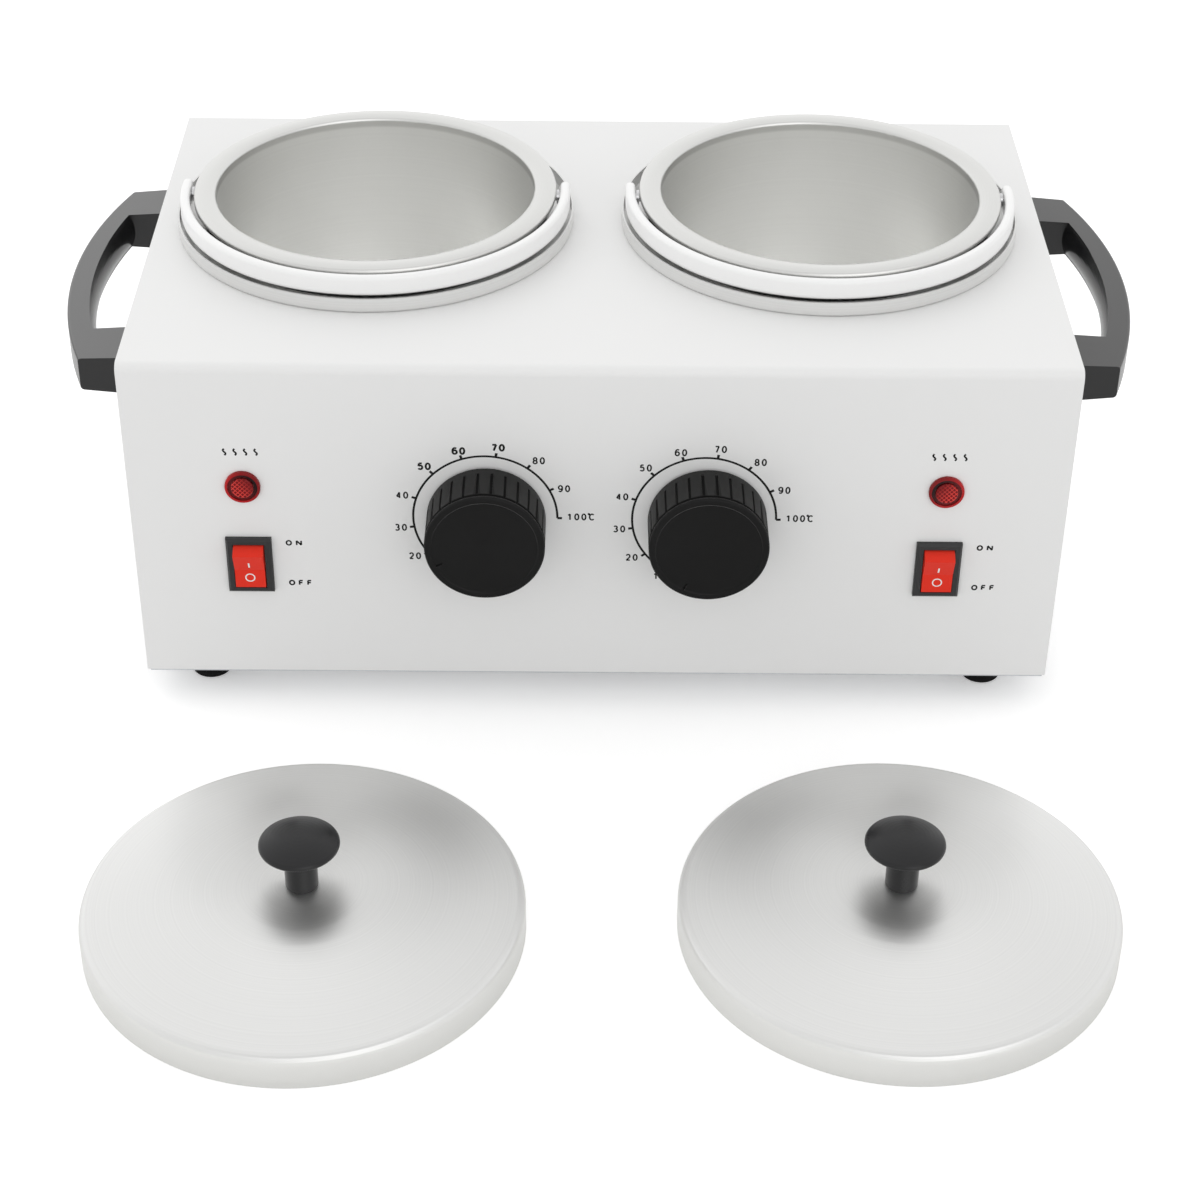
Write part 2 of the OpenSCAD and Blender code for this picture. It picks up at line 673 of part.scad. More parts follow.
// Dial: hollow moulded knob with a slotted skirt, a neck, a front disc and a cut mark
module dial(side) color("black") placed() at_front(dial_at(side), dial_z) {
    neck = dial_depth - dial_disc - dial_neck;
    difference() {
        rotate_extrude() polygon(concat(
            [[0, dial_gap], [hub_r, dial_gap], [hub_r, dial_depth - dial_face],
                [dial_r - dial_wall, dial_depth - dial_face], [dial_r - dial_wall, dial_gap],
                [dial_r - 0.5, dial_gap], [dial_r, dial_gap + 0.5], [dial_r, neck],
                [dial_r - slot_deep, neck], [dial_r - slot_deep, neck + dial_neck]],
            arc(dial_r - 0.5, neck + dial_neck + 0.5, 0.5, -90, 0, 3),
            arc(dial_r - 0.8, dial_depth - 0.8, 0.8, 0, 90, 4),
            [[dial_r - 2, dial_depth], [dial_r - 2.4, dial_depth - dial_dish],
                [0, dial_depth - dial_dish]]));
        for (i = [0 : dial_slots - 1]) rotate([0, 0, (i + 0.5) * 360 / dial_slots + 90])
            block(2 * slot_deep, slot_w, neck - dial_gap - dial_back, x = dial_r,
                z = dial_gap + dial_back);
        translate([0, 0, -cut]) cylinder(r = spindle_r + running, h = spindle_out + play + cut);
        rotate([0, 0, side == left ? left_mark : right_mark])
            block(mark_l, mark_w, cut + dial_dish, x = mark_r + mark_l / 2,
                z = dial_depth - 3 * dial_dish);
    }
}

// Lamps: barrel through the panel, push-on clip behind it, bulb inside, lens in front
module lamp_bodies() color("ivory") placed() for (s = sides) at_front(lamp_at(s), lamp_z)
    difference() {
        union() {
            translate([0, 0, -lamp_barrel]) cylinder(r = lamp_barrel_r, h = lamp_barrel);
            for (e = sides) block(blade_t, blade_w / 2, blade_l, x = e * lamp_blade_x,
                z = 1 - lamp_barrel - blade_l);
        }
        translate([0, 0, lamp_wall - lamp_barrel])
            cylinder(r = lamp_barrel_r - lamp_wall, h = lamp_barrel);
    }
module lamp_clips() color("silver") placed() for (s = sides) at_front(lamp_at(s), lamp_z)
    translate([0, 0, -sheet - lamp_clip_t]) difference() {
        cylinder(r = lamp_clip_r, h = lamp_clip_t);
        translate([0, 0, -cut]) cylinder(r = lamp_barrel_r + running, h = lamp_clip_t + 2 * cut);
    }
module lamp_bulbs() color("orange") placed() for (s = sides) at_front(lamp_at(s), lamp_z)
    translate([0, 0, lamp_wall - lamp_barrel]) rotate_extrude() polygon(concat([[0, 0]],
        [[bulb_glass_r, 0]], arc(0, bulb_glass_l - bulb_glass_r, bulb_glass_r, 0, 90)));
module lamp_lens(side) color("red") placed() at_front(lamp_at(side), lamp_z)
    rotate_extrude() polygon(concat(
        [[0, -lamp_spigot], [lamp_barrel_r - lamp_wall - fit, -lamp_spigot],
            [lamp_barrel_r - lamp_wall - fit, 0], [lamp_r, 0]],
        arc(lamp_r - 0.4, lamp_ring - 0.4, 0.4, 0, 90, 3),
        [[lamp_r - lamp_ring_w, lamp_ring], [lamp_r - lamp_ring_w, lamp_groove],
            [lamp_boss_r, lamp_groove]],
        arc(lamp_boss_r - 0.3, lamp_ring + lamp_boss - 0.3, 0.3, 0, 90, 3),
        [[0, lamp_ring + lamp_boss]]));

// Switch: housing pushed through the panel, with a bevelled frame and a well for the rocker
module switch(side) color("black") placed() at_front(switch_at(side), switch_z) difference() {
    union() {
        hull() {
            block(switch_w, switch_h, switch_frame - switch_bevel);
            block(switch_w - 2 * switch_bevel, switch_h - 2 * switch_bevel, switch_frame);
        }
        block(switch_body_w, switch_body_h, switch_deep + fit, z = -switch_deep);
    }
    translate([0, 0, rocker_z]) {
        rod_x(-rocker_w / 2 - play, rocker_r + play, rocker_w + 2 * play);
        block(rocker_w + 2 * play, 2 * (rocker_r + play), switch_frame + cut);
        rod_x(-rocker_w / 2 - trunnion_l - play, trunnion_r + running,
            rocker_w + 2 * (trunnion_l + play));
    }
}
module switch_terminals() color("silver") placed() for (side = sides, s = sides)
    at_front(switch_at(side), switch_z)
        block(blade_w, blade_t, blade_l, y = s * switch_blade_y, z = -switch_deep - blade_l);

// Rocker: two faces that meet in a shallow V, on trunnions, at rest with OFF pressed in
module rocker(side) color("red") placed() at_front(switch_at(side), switch_z)
    translate([0, 0, rocker_z]) rotate([rocker_swing / 2, 0, 0]) {
        translate([-rocker_w / 2, 0, 0]) along_x(rocker_w) polygon(concat(
            arc(0, 0, rocker_r, rocker_foot, rocker_tip, 8), [[0, rocker_dip]],
            arc(0, 0, rocker_r, 180 - rocker_tip, 180 - rocker_foot, 8)));
        rod_x(-rocker_w / 2 - trunnion_l, trunnion_r, rocker_w + 2 * trunnion_l);
    }

// Cord inlet: a gland through the rear panel with a nut inside
module cord_gland() color("black") placed() at_rear() difference() {
    rotate_extrude() polygon([[0, -gland_in], [gland_r, -gland_in], [gland_r, 0],
        [gland_flange_r, 0], [gland_flange_r, gland_flange - 0.6],
        [gland_flange_r - 0.6, gland_flange], [gland_r + 0.6, gland_flange],
        [gland_r - 0.6, gland_out - 0.6], [gland_r - 1.2, gland_out], [0, gland_out]]);
    translate([0, 0, -gland_in - cut]) cylinder(r = gland_bore, h = gland_in + gland_out + 2 * cut);
}
module gland_nut() color("black") placed() at_rear()
    translate([0, 0, -sheet - nut_h]) nut(gland_r + running, gland_across, nut_h);

// Terminals and earth on the base plate
module terminal_block() color("ivory") placed() translate([0, block_y, base_top]) difference() {
    union() {
        block(block_size[0], block_size[1], block_size[2] / 2);
        for (i = [-1 : 1]) block(block_pitch - 2, block_size[1], block_size[2], x = i * block_pitch);
    }
    for (i = [-1 : 1], s = sides) translate([i * block_pitch, s * block_screw_y, block_size[2] / 2])
        cylinder(r = screw_m3 + fit, h = block_size[2]);
}
module terminal_screws() color("silver") placed() for (i = [-1 : 1], s = sides)
    translate([i * block_pitch, block_y + s * block_screw_y, base_top + block_size[2]])
        pan_screw(screw_m3, block_size[2] / 3);
module earth_screw() color("silver") placed() translate([earth_x, earth_y, 0]) {
    translate([0, 0, foot_h]) rotate([180, 0, 0]) pan_screw(screw_m4, base_t + foot_nut_h + screw_over);
    translate([0, 0, base_top]) nut(screw_m4 + running, nut_m4, foot_nut_h);
}

// Pot: spun cup with a rolled rim and a turned-down lip
module pot(side) color("gainsboro") at_pot(side) rotate_extrude() polygon(concat(
    [[0, pot_floor]],
    arc(pot_r - pot_corner, pot_floor + pot_corner, pot_corner, -90, 0),
    rim_line(0),
    reversed(rim_line(pot_t)),
    arc(pot_r - pot_corner, pot_floor + pot_corner, pot_corner + pot_t, 0, -90),
    [[0, pot_floor - pot_t]]));

// Ears under the rim, one on each side, with a bored boss for the bail's pin
module pot_ears(side) color("silver") at_pot(side) for (s = sides) handed(s) difference() {
    union() {
        intersection() {
            cylinder(r = pot_outer + ear_t, h = 2 * top_z);
            block(pot_outer, ear_w, ear_drop + ear_boss_r, x = pot_outer, z = pin_z - ear_drop);
        }
        translate([0, 0, pin_z]) rod_x(pot_outer, ear_boss_r, ear_boss_end - pot_outer);
    }
    cylinder(r = pot_outer, h = 2 * top_z);
    translate([0, 0, pin_z]) rod_x(pot_r, pin_r + running, bail_r - pot_r);
}

// Pins riveted in the ears, with a shoulder that keeps the bail off the rim
module bail_pins(side) color("silver") at_pot(side) for (s = sides) handed(s)
    translate([0, 0, pin_z]) {
        rod_x(pot_outer + ear_t / 2, pin_r, bail_r + pin_in - pot_outer - ear_t / 2);
        rod_x(rim_r + fit, shoulder_r, bail_gap - fit - play);
    }

// Bail: a half ring with straight rounded ends, sprung over the pins
module bail(side) color("white") at_pot(side) translate([0, 0, pin_z]) difference() {
    union() {
        rotate([0, 0, 180]) rotate_extrude(angle = 180)
            polygon(round_box(bail_r, -bail_h / 2, bail_t, bail_h, bail_round));
        for (s = sides) handed(s) {
            translate([0, bail_tail - bail_h / 2, 0]) rotate([90, 0, 0])
                linear_extrude(bail_tail - bail_h / 2)
                    polygon(round_box(bail_r, -bail_h / 2, bail_t, bail_h, bail_round));
            translate([0, bail_tail - bail_h / 2, 0]) rotate([0, 90, 0])
                rotate_extrude() polygon(round_tail());
        }
    }
    for (s = sides) handed(s) rod_x(bail_r - cut, pin_r + running, pin_in + pin_end + cut);
}
// Half of a bail end's section, turned about the axis through its middle
function round_tail() = concat([[0, bail_r]],
    arc(bail_h / 2 - bail_round, bail_r + bail_round, bail_round, -90, 0, 4),
    arc(bail_h / 2 - bail_round, bail_r + bail_t - bail_round, bail_round, 0, 90, 4),
    [[0, bail_r + bail_t]]);

// Lid: spun disc with a low crown and a straight skirt, bored for the knob's screw
module lid(side) color("silver") at_lid(side) difference() {
    rotate_extrude($fn = 180) polygon(concat(lid_line(0), reversed(lid_line(lid_t))));
    translate([0, 0, lid_h]) cylinder(r = screw_m4 + fit, h = lid_rise + cut);
}
module lid_knob(side) color("black") at_lid(side) translate([0, 0, crown_z]) difference() {
    rotate_extrude() polygon(concat(
        [[0, 0], [knob_stem_r, 0], [knob_stem_r, lid_knob_h - 8]],
        arc(knob_stem_r + 3, lid_knob_h - 8, 3, 180, 90, 5),
        arc(lid_knob_r - knob_rim, knob_edge_z, knob_rim, -75, 90 - knob_lean, 6),
        arc(0, lid_knob_h - knob_round, knob_round, 90 - knob_lean, 90, 8)));
    translate([0, 0, -cut]) cylinder(r = screw_m4 + running, h = lid_screw_l + cut);
}
knob_round = (pow(lid_knob_r, 2) + pow(knob_dome, 2)) / (2 * knob_dome);
knob_lean = asin((lid_knob_r - knob_rim) / (knob_round - knob_rim));
knob_edge_z = lid_knob_h - knob_round + (knob_round - knob_rim) * cos(knob_lean);

// Knob's screw and washer under the lid
module lid_screw(side) color("silver") at_lid(side) translate([0, 0, crown_z - lid_t - fit / 2]) {
    translate([0, 0, -washer_t]) difference() {
        cylinder(r = washer_r, h = washer_t);
        translate([0, 0, -cut]) cylinder(r = screw_m4 + running, h = washer_t + 2 * cut);
    }
    translate([0, 0, -washer_t]) rotate([180, 0, 0])
        pan_screw(screw_m4, washer_t + lid_t + lid_screw_l - screw_end);
}

casing();
side_panel(left);  // side_panel_left
side_panel(right);  // side_panel_right
base_plate();
base_screws();
feet();
foot_screws();
foot_nuts();
handle(left);  // handle_left
handle(right);  // handle_right
handle_screws();
well(left);  // well_left
well(right);  // well_right
heater_band(left);  // heater_band_left
heater_band(right);  // heater_band_right
band_screws();
hold_down(left);  // hold_down_left
hold_down(right);  // hold_down_right
hold_down_nuts();
thermal_cutouts();
thermostat(left);  // thermostat_left
thermostat(right);  // thermostat_right
thermostat_screws();
sensor(left);  // sensor_left
sensor(right);  // sensor_right
spindle(left);  // spindle_left
spindle(right);  // spindle_right
dial(left);  // dial_left
dial(right);  // dial_right
lamp_bodies();
lamp_clips();
lamp_bulbs();
lamp_lens(left);  // lamp_lens_left
lamp_lens(right);  // lamp_lens_right
switch(left);  // switch_left
switch(right);  // switch_right
switch_terminals();
rocker(left);  // rocker_left
rocker(right);  // rocker_right
cord_gland();
gland_nut();
terminal_block();
terminal_screws();
earth_screw();
pot(left);  // pot_left
pot(right);  // pot_right
pot_ears(left);  // pot_ears_left
pot_ears(right);  // pot_ears_right
bail_pins(left);  // bail_pins_left
bail_pins(right);  // bail_pins_right
bail(left);  // bail_left
bail(right);  // bail_right
lid(left);  // lid_left
lid(right);  // lid_right
lid_knob(left);  // lid_knob_left
lid_knob(right);  // lid_knob_right
lid_screw(left);  // lid_screw_left
lid_screw(right);  // lid_screw_right
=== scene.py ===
import json
import math

import bmesh
import bpy
from mathutils import Matrix, Vector

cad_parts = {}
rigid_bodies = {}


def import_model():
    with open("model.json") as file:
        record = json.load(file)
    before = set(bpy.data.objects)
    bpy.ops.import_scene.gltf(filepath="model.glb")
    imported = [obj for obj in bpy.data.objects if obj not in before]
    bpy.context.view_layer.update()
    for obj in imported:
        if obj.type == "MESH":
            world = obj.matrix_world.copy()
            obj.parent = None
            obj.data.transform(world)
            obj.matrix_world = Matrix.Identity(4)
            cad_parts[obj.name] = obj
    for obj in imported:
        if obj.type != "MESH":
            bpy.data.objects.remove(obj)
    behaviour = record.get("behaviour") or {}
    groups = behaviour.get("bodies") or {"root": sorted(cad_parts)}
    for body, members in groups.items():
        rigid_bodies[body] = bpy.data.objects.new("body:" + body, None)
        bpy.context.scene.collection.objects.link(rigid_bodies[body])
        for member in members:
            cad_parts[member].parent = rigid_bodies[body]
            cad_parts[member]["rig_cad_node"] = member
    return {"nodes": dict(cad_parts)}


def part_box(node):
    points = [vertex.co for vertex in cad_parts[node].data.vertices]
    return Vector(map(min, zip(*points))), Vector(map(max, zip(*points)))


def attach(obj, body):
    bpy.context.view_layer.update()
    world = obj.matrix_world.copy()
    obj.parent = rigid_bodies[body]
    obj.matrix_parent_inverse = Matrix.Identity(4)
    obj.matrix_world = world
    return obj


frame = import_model()
for startup in [o for o in bpy.data.objects if o.type != "EMPTY" and "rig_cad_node" not in o]:
    bpy.data.objects.remove(startup)
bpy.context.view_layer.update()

# ---------------------------------------------------------------- Camera
# The camera stands in front of the warmer and looks down on it, from the place that the
# casing's corners give in the photograph. Its frame is square and nothing is shifted.
camera = bpy.data.objects.new("camera", bpy.data.cameras.new("camera"))
camera.data.lens = 77.32
camera.data.sensor_width = 36
camera.matrix_world = (
    Matrix.Translation((-0.00508, -0.69491, 0.52645))
    @ Matrix.Rotation(math.radians(-0.484), 4, "Z")
    @ Matrix.Rotation(math.radians(54.894), 4, "X")
    @ Matrix.Rotation(math.radians(0.699), 4, "Z")
)
bpy.context.scene.collection.objects.link(camera)
bpy.context.scene.camera = camera
bpy.context.scene.view_settings.view_transform = "Standard"


# ---------------------------------------------------------------- Studio
# A white sweep and soft light from all round, as for a shop photograph. The light is a
# little stronger from behind and from the left, and the floor keeps the warmer's shadow.
def add(tree, kind, inputs=None, **settings):
    """A shader node with its settings, and a value or a link for each input."""
    node = tree.nodes.new("ShaderNode" + kind)
    for name, value in settings.items():
        setattr(node, name, value)
    for name, value in (inputs or {}).items():
        if isinstance(value, bpy.types.NodeSocket):
            tree.links.new(value, node.inputs[name])
        else:
            node.inputs[name].default_value = value
    return node


def calc(tree, operation, *values):
    """The result of a Math node."""
    return add(tree, "Math", dict(enumerate(values)), operation=operation).outputs[0]


def blend_over(tree, value, low, high, at_low, at_high):
    """A smooth change from at_low to at_high, while the value runs from low to high."""
    return add(
        tree,
        "MapRange",
        {"Value": value, "From Min": low, "From Max": high, "To Min": at_low, "To Max": at_high},
        interpolation_type="SMOOTHSTEP",
    ).outputs["Result"]


studio = bpy.data.worlds.new("studio")
studio.use_nodes = True
bpy.context.scene.world = studio
sky = studio.node_tree
sky.nodes.clear()
towards = add(sky, "SeparateXYZ", {0: add(sky, "TexCoord").outputs["Generated"]}).outputs
overhead = blend_over(sky, towards["Z"], low=0.3, high=0.9, at_low=1.08, at_high=0.97)
behind = blend_over(sky, towards["Y"], low=-0.7, high=0.7, at_low=0.78, at_high=1.04)
leftward = blend_over(sky, towards["X"], low=-0.9, high=0.9, at_low=1.05, at_high=0.95)
softboxes = calc(sky, "MULTIPLY", calc(sky, "MULTIPLY", overhead, behind), leftward)

# One more softbox in front and to the right, which shows in metal and gloss alone
ray = add(sky, "LightPath").outputs
pane_towards = Vector((0.35, -0.75, 0.56)).normalized()
pane_strength = 0.9
aim = add(
    sky,
    "VectorMath",
    {0: add(sky, "TexCoord").outputs["Generated"], 1: pane_towards},
    operation="DOT_PRODUCT",
).outputs["Value"]
pane = blend_over(sky, aim, low=0.86, high=0.98, at_low=0.0, at_high=pane_strength)
pane = calc(sky, "MULTIPLY", pane, ray["Is Glossy Ray"])
softboxes = calc(sky, "ADD", softboxes, pane)
seen = calc(sky, "MAXIMUM", ray["Is Camera Ray"], ray["Is Transmission Ray"])
backdrop = add(
    sky,
    "MixShader",
    {
        0: seen,
        1: add(sky, "Background", {"Strength": softboxes, "Color": (1, 1, 1, 1)}).outputs[0],
        2: add(sky, "Background", {"Strength": 1.0, "Color": (1, 1, 1, 1)}).outputs[0],
    },
)
add(sky, "OutputWorld", {"Surface": backdrop.outputs[0]})


def soft_light(name, place, size, power):
    """A square area light that points at the middle of the set, and that metal doesn't mirror."""
    light = bpy.data.lights.new(name, "AREA")
    light.size = size
    light.energy = power
    lamp = bpy.data.objects.new(name, light)
    lamp.location = place
    lamp.rotation_euler = (Vector((0, 0, 0.05)) - lamp.location).to_track_quat("-Z", "Y").to_euler()
    lamp.visible_glossy = False
    bpy.context.scene.collection.objects.link(lamp)


soft_light("key_light", (-1.1, 1.0, 1.9), size=1.6, power=5)
soft_light("front_light", (0.5, -2.0, 1.3), size=1.6, power=5)

# The floor is plain paper, lifted to white for the camera and far less in what metal mirrors
floor_half = 6.0
floor_z = -0.00005
floor_lift = 0.32
floor_lift_in_mirrors = 0.04
floor_mesh = bpy.data.meshes.new("studio_floor")
floor_mesh.from_pydata(
    [(x * floor_half, y * floor_half, floor_z) for x, y in ((-1, -1), (1, -1), (1, 1), (-1, 1))],
    [],
    [(0, 1, 2, 3)],
)
floor = bpy.data.objects.new("studio_floor", floor_mesh)
bpy.context.scene.collection.objects.link(floor)
floor_paper = bpy.data.materials.new("floor_paper")
floor_paper.use_nodes = True
tree = floor_paper.node_tree
tree.nodes.clear()
ray = add(tree, "LightPath").outputs
seen = calc(tree, "MAXIMUM", ray["Is Camera Ray"], ray["Is Transmission Ray"])
mirrored = calc(tree, "MULTIPLY", ray["Is Glossy Ray"], floor_lift_in_mirrors)
paper = add(tree, "BsdfDiffuse", {"Color": (0.92, 0.92, 0.92, 1)})
lift = add(tree, "Emission", {"Strength": calc(tree, "MULTIPLY_ADD", seen, floor_lift, mirrored)})
add(
    tree,
    "OutputMaterial",
    {"Surface": add(tree, "AddShader", {0: paper.outputs[0], 1: lift.outputs[0]}).outputs[0]},
)
floor_mesh.materials.append(floor_paper)


# ---------------------------------------------------------------- Casing and end panels
# Steel sheet, folded over front, top and rear and closed by two end panels, with a baked
# white powder coat: satin, with the faint orange peel that the powder leaves as it flows.
def effect(name, inputs, outputs):
    """An empty node group with its sockets, and the ends to build it between."""
    group = bpy.data.node_groups.new(name, "ShaderNodeTree")
    for label, kind in inputs.items():
        group.interface.new_socket(label, in_out="INPUT", socket_type="NodeSocket" + kind)
    for label, kind in outputs.items():
        group.interface.new_socket(label, in_out="OUTPUT", socket_type="NodeSocket" + kind)
    given = group.nodes.new("NodeGroupInput").outputs
    result = group.nodes.new("NodeGroupOutput").inputs
    return group, given, result


def varied(tree, value, pattern, amount):
    """A value that swings by an amount round its mean, as a 0 to 1 pattern goes."""
    return calc(tree, "MULTIPLY_ADD", calc(tree, "SUBTRACT", pattern, 0.5), amount, value)


# Grain: fine bumps of a given size, with slow changes of colour and gloss over the surface
grain, given, result = effect(
    "grain",
    {
        "Colour": "Color",
        "Mottle": "Float",
        "Grain mm": "Float",
        "Roughness": "Float",
        "Unevenness": "Float",
    },
    {"Colour": "Color", "Roughness": "Float", "Height": "Float"},
)
spot = add(grain, "TexCoord").outputs["Object"]
bumps = add(
    grain,
    "TexNoise",
    {"Vector": spot, "Scale": calc(grain, "DIVIDE", 1000.0, given["Grain mm"]), "Detail": 2.0},
).outputs["Fac"]
clouds = add(grain, "TexNoise", {"Vector": spot, "Scale": 30.0, "Detail": 4.0}).outputs["Fac"]
tint = add(
    grain,
    "VectorMath",
    {0: given["Colour"], "Scale": varied(grain, 1.0, clouds, given["Mottle"])},
    operation="SCALE",
)
grain.links.new(tint.outputs[0], result["Colour"])
gloss = varied(grain, given["Roughness"], clouds, given["Unevenness"])
grain.links.new(gloss, result["Roughness"])
grain.links.new(bumps, result["Height"])


def new_material(name, **sockets):
    """A material with its Principled BSDF, whose named sockets get these values."""
    material = bpy.data.materials.new(name)
    material.use_nodes = True
    shader = material.node_tree.nodes["Principled BSDF"]
    for label, value in sockets.items():
        shader.inputs[label.replace("_", " ")].default_value = value
    return material, material.node_tree, shader


def finish_with(tree, shader, surface, depth_mm):
    """Colour, roughness and height of an effect on a shader, with the bumps this deep."""
    tree.links.new(surface.outputs["Colour"], shader.inputs["Base Color"])
    tree.links.new(surface.outputs["Roughness"], shader.inputs["Roughness"])
    bump = add(
        tree,
        "Bump",
        {"Height": surface.outputs["Height"], "Distance": depth_mm / 1000, "Strength": 1.0},
    )
    tree.links.new(bump.outputs["Normal"], shader.inputs["Normal"])


def moulded(name, colour, roughness, grain_mm, depth_mm, mottle=0.06, unevenness=0.06, **sockets):
    """A surface with a fine grain, such as plastic, paint, rubber or plated metal."""
    material, tree, shader = new_material(name, **sockets)
    surface = add(tree, "Group", node_tree=grain)
    for label, value in (
        ("Colour", (*colour, 1)),
        ("Mottle", mottle),
        ("Grain mm", grain_mm),
        ("Roughness", roughness),
        ("Unevenness", unevenness),
    ):
        surface.inputs[label].default_value = value
    finish_with(tree, shader, surface, depth_mm)
    return material


def dress(material, *names):
    """Gives CAD nodes their material."""
    for name in names:
        slots = frame["nodes"][name].data.materials
        slots.clear()
        slots.append(material)


powder_coat = moulded(
    "white_powder_coat", (0.83, 0.83, 0.825), roughness=0.42, grain_mm=1.6, depth_mm=0.006,
    mottle=0.012, unevenness=0.05,
)
dress(powder_coat, "casing", "side_panel_left", "side_panel_right")

# ---------------------------------------------------------------- Print on the panel
# Black screen print: a scale up to 100 degrees round each dial, ON and OFF beside each switch,
# and a row of rising heat waves over each lamp. The ink lies a hair proud of the paint.
panel_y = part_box("casing")[0].y * 1000
print_proud = 0.02


def middle(node):
    """The middle of a piece as seen from the front, in millimetres."""
    low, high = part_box(node)
    return (low.x + high.x) * 500, (low.z + high.z) * 500


def on_panel(x, z):
    """A place on the panel, from millimetres across and up."""
    return Vector((x, panel_y - print_proud, z)) / 1000


def bow(x, z, across, up, start, end, stride=15):
    """Points along part of an ellipse, from one angle to another."""
    steps = math.ceil(abs(end - start) / stride)
    turns = [math.radians(start + (end - start) * i / steps) for i in range(steps + 1)]
    return [(x + across * math.cos(t), z + up * math.sin(t)) for t in turns]


# Each sign's width, and its pen strokes in a box of that width and a height of one
signs = {
    "0": (0.62, [bow(0.31, 0.5, 0.31, 0.5, 0, 360)]),
    "1": (0.62, [[(0.06, 0.76), (0.36, 1.0)], [(0.36, 1.0), (0.36, 0.0)]]),
    "2": (0.62, [[*bow(0.31, 0.70, 0.30, 0.30, 165, -35), (0.02, 0.0)], [(0.0, 0.0), (0.62, 0.0)]]),
    "3": (0.62, [bow(0.29, 0.75, 0.27, 0.25, 150, -90), bow(0.30, 0.26, 0.31, 0.26, 90, -150)]),
    "4": (0.62, [[(0.46, 0.0), (0.46, 1.0)], [(0.46, 1.0), (0.0, 0.28)],
                 [(0.0, 0.28), (0.62, 0.28)]]),
    "5": (0.62, [[(0.56, 1.0), (0.12, 1.0)], [(0.12, 1.0), (0.05, 0.50)],
                 bow(0.30, 0.32, 0.31, 0.32, 140, -150)]),
    "6": (0.62, [bow(0.31, 0.31, 0.31, 0.31, 0, 360),
                 [*bow(0.34, 0.56, 0.34, 0.44, 50, 180), (0.0, 0.31)]]),
    "7": (0.62, [[(0.02, 1.0), (0.62, 1.0)], [(0.60, 1.0), (0.22, 0.0)]]),
    "8": (0.62, [bow(0.31, 0.75, 0.26, 0.25, 0, 360), bow(0.31, 0.25, 0.31, 0.25, 0, 360)]),
    "9": (0.62, [bow(0.31, 0.69, 0.31, 0.31, 0, 360),
                 [*bow(0.28, 0.44, 0.34, 0.44, -130, 0), (0.62, 0.69)]]),
    "℃": (0.8, [bow(-0.05, 1.0, 0.07, 0.08, 0, 360), bow(0.44, 0.5, 0.37, 0.5, 45, 315)]),
    "O": (0.95, [bow(0.475, 0.5, 0.475, 0.5, 0, 360)]),
    "N": (0.92, [[(0.0, 0.0), (0.0, 1.0)], [(0.0, 1.0), (0.92, 0.0)], [(0.92, 0.0), (0.92, 1.0)]]),
    "F": (0.75, [[(0.0, 0.0), (0.0, 1.0)], [(0.0, 1.0), (0.75, 1.0)], [(0.0, 0.52), (0.65, 0.52)]]),
}


def print_line(ink, points, width):
    """A line of even width along some points."""
    closed = math.dist(points[0], points[-1]) < 1e-6
    rows = []
    for i, (x, z) in enumerate(points):
        x0, z0 = points[i - 1] if i else points[-2 if closed else 0]
        x1, z1 = points[i + 1] if i + 1 < len(points) else points[1 if closed else -1]
        length = math.hypot(x1 - x0, z1 - z0)
        dx, dz = (z0 - z1) / length * width / 2, (x1 - x0) / length * width / 2
        rows.append([ink.verts.new(on_panel(x + k * dx, z + k * dz)) for k in (-1, 1)])
    for (a, b), (c, d) in zip(rows, rows[1:]):
        ink.faces.new((a, c, d, b))


def print_word(ink, word, x, z, height, stroke, gap, stretch=1.0):
    """A word or number in pen strokes, centred on a place of the panel."""
    widths = [signs[sign][0] * height * stretch for sign in word]
    start = x - (sum(widths) + gap * (len(word) - 1)) / 2
    for sign, width in zip(word, widths):
        across = (width - stroke) / signs[sign][0]
        for points in signs[sign][1]:
            spots = [
                (start + stroke / 2 + px * across, z + (pz - 0.5) * (height - stroke))
                for px, pz in points
            ]
            print_line(ink, spots, stroke)
        start += width + gap


def piece_from(name, mesh_data, material, body):
    """An object from a bmesh, which rides on a body."""
    mesh = bpy.data.meshes.new(name)
    mesh_data.to_mesh(mesh)
    mesh_data.free()
    mesh.materials.append(material)
    piece = bpy.data.objects.new(name, mesh)
    bpy.context.scene.collection.objects.link(piece)
    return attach(piece, body)


panel_ink = moulded(
    "panel_ink", (0.005, 0.005, 0.005), roughness=0.5, grain_mm=0.25, depth_mm=0.002, mottle=0.3,
    Specular_IOR_Level=0.2,
)
scale_r, scale_left, scale_down = 23.1, {"left": 0.33, "right": 0.97}, 0.27
scale_turn, scale_steps = 243, 9
line_w, tick, tick_w = 0.72, 1.5, 0.85

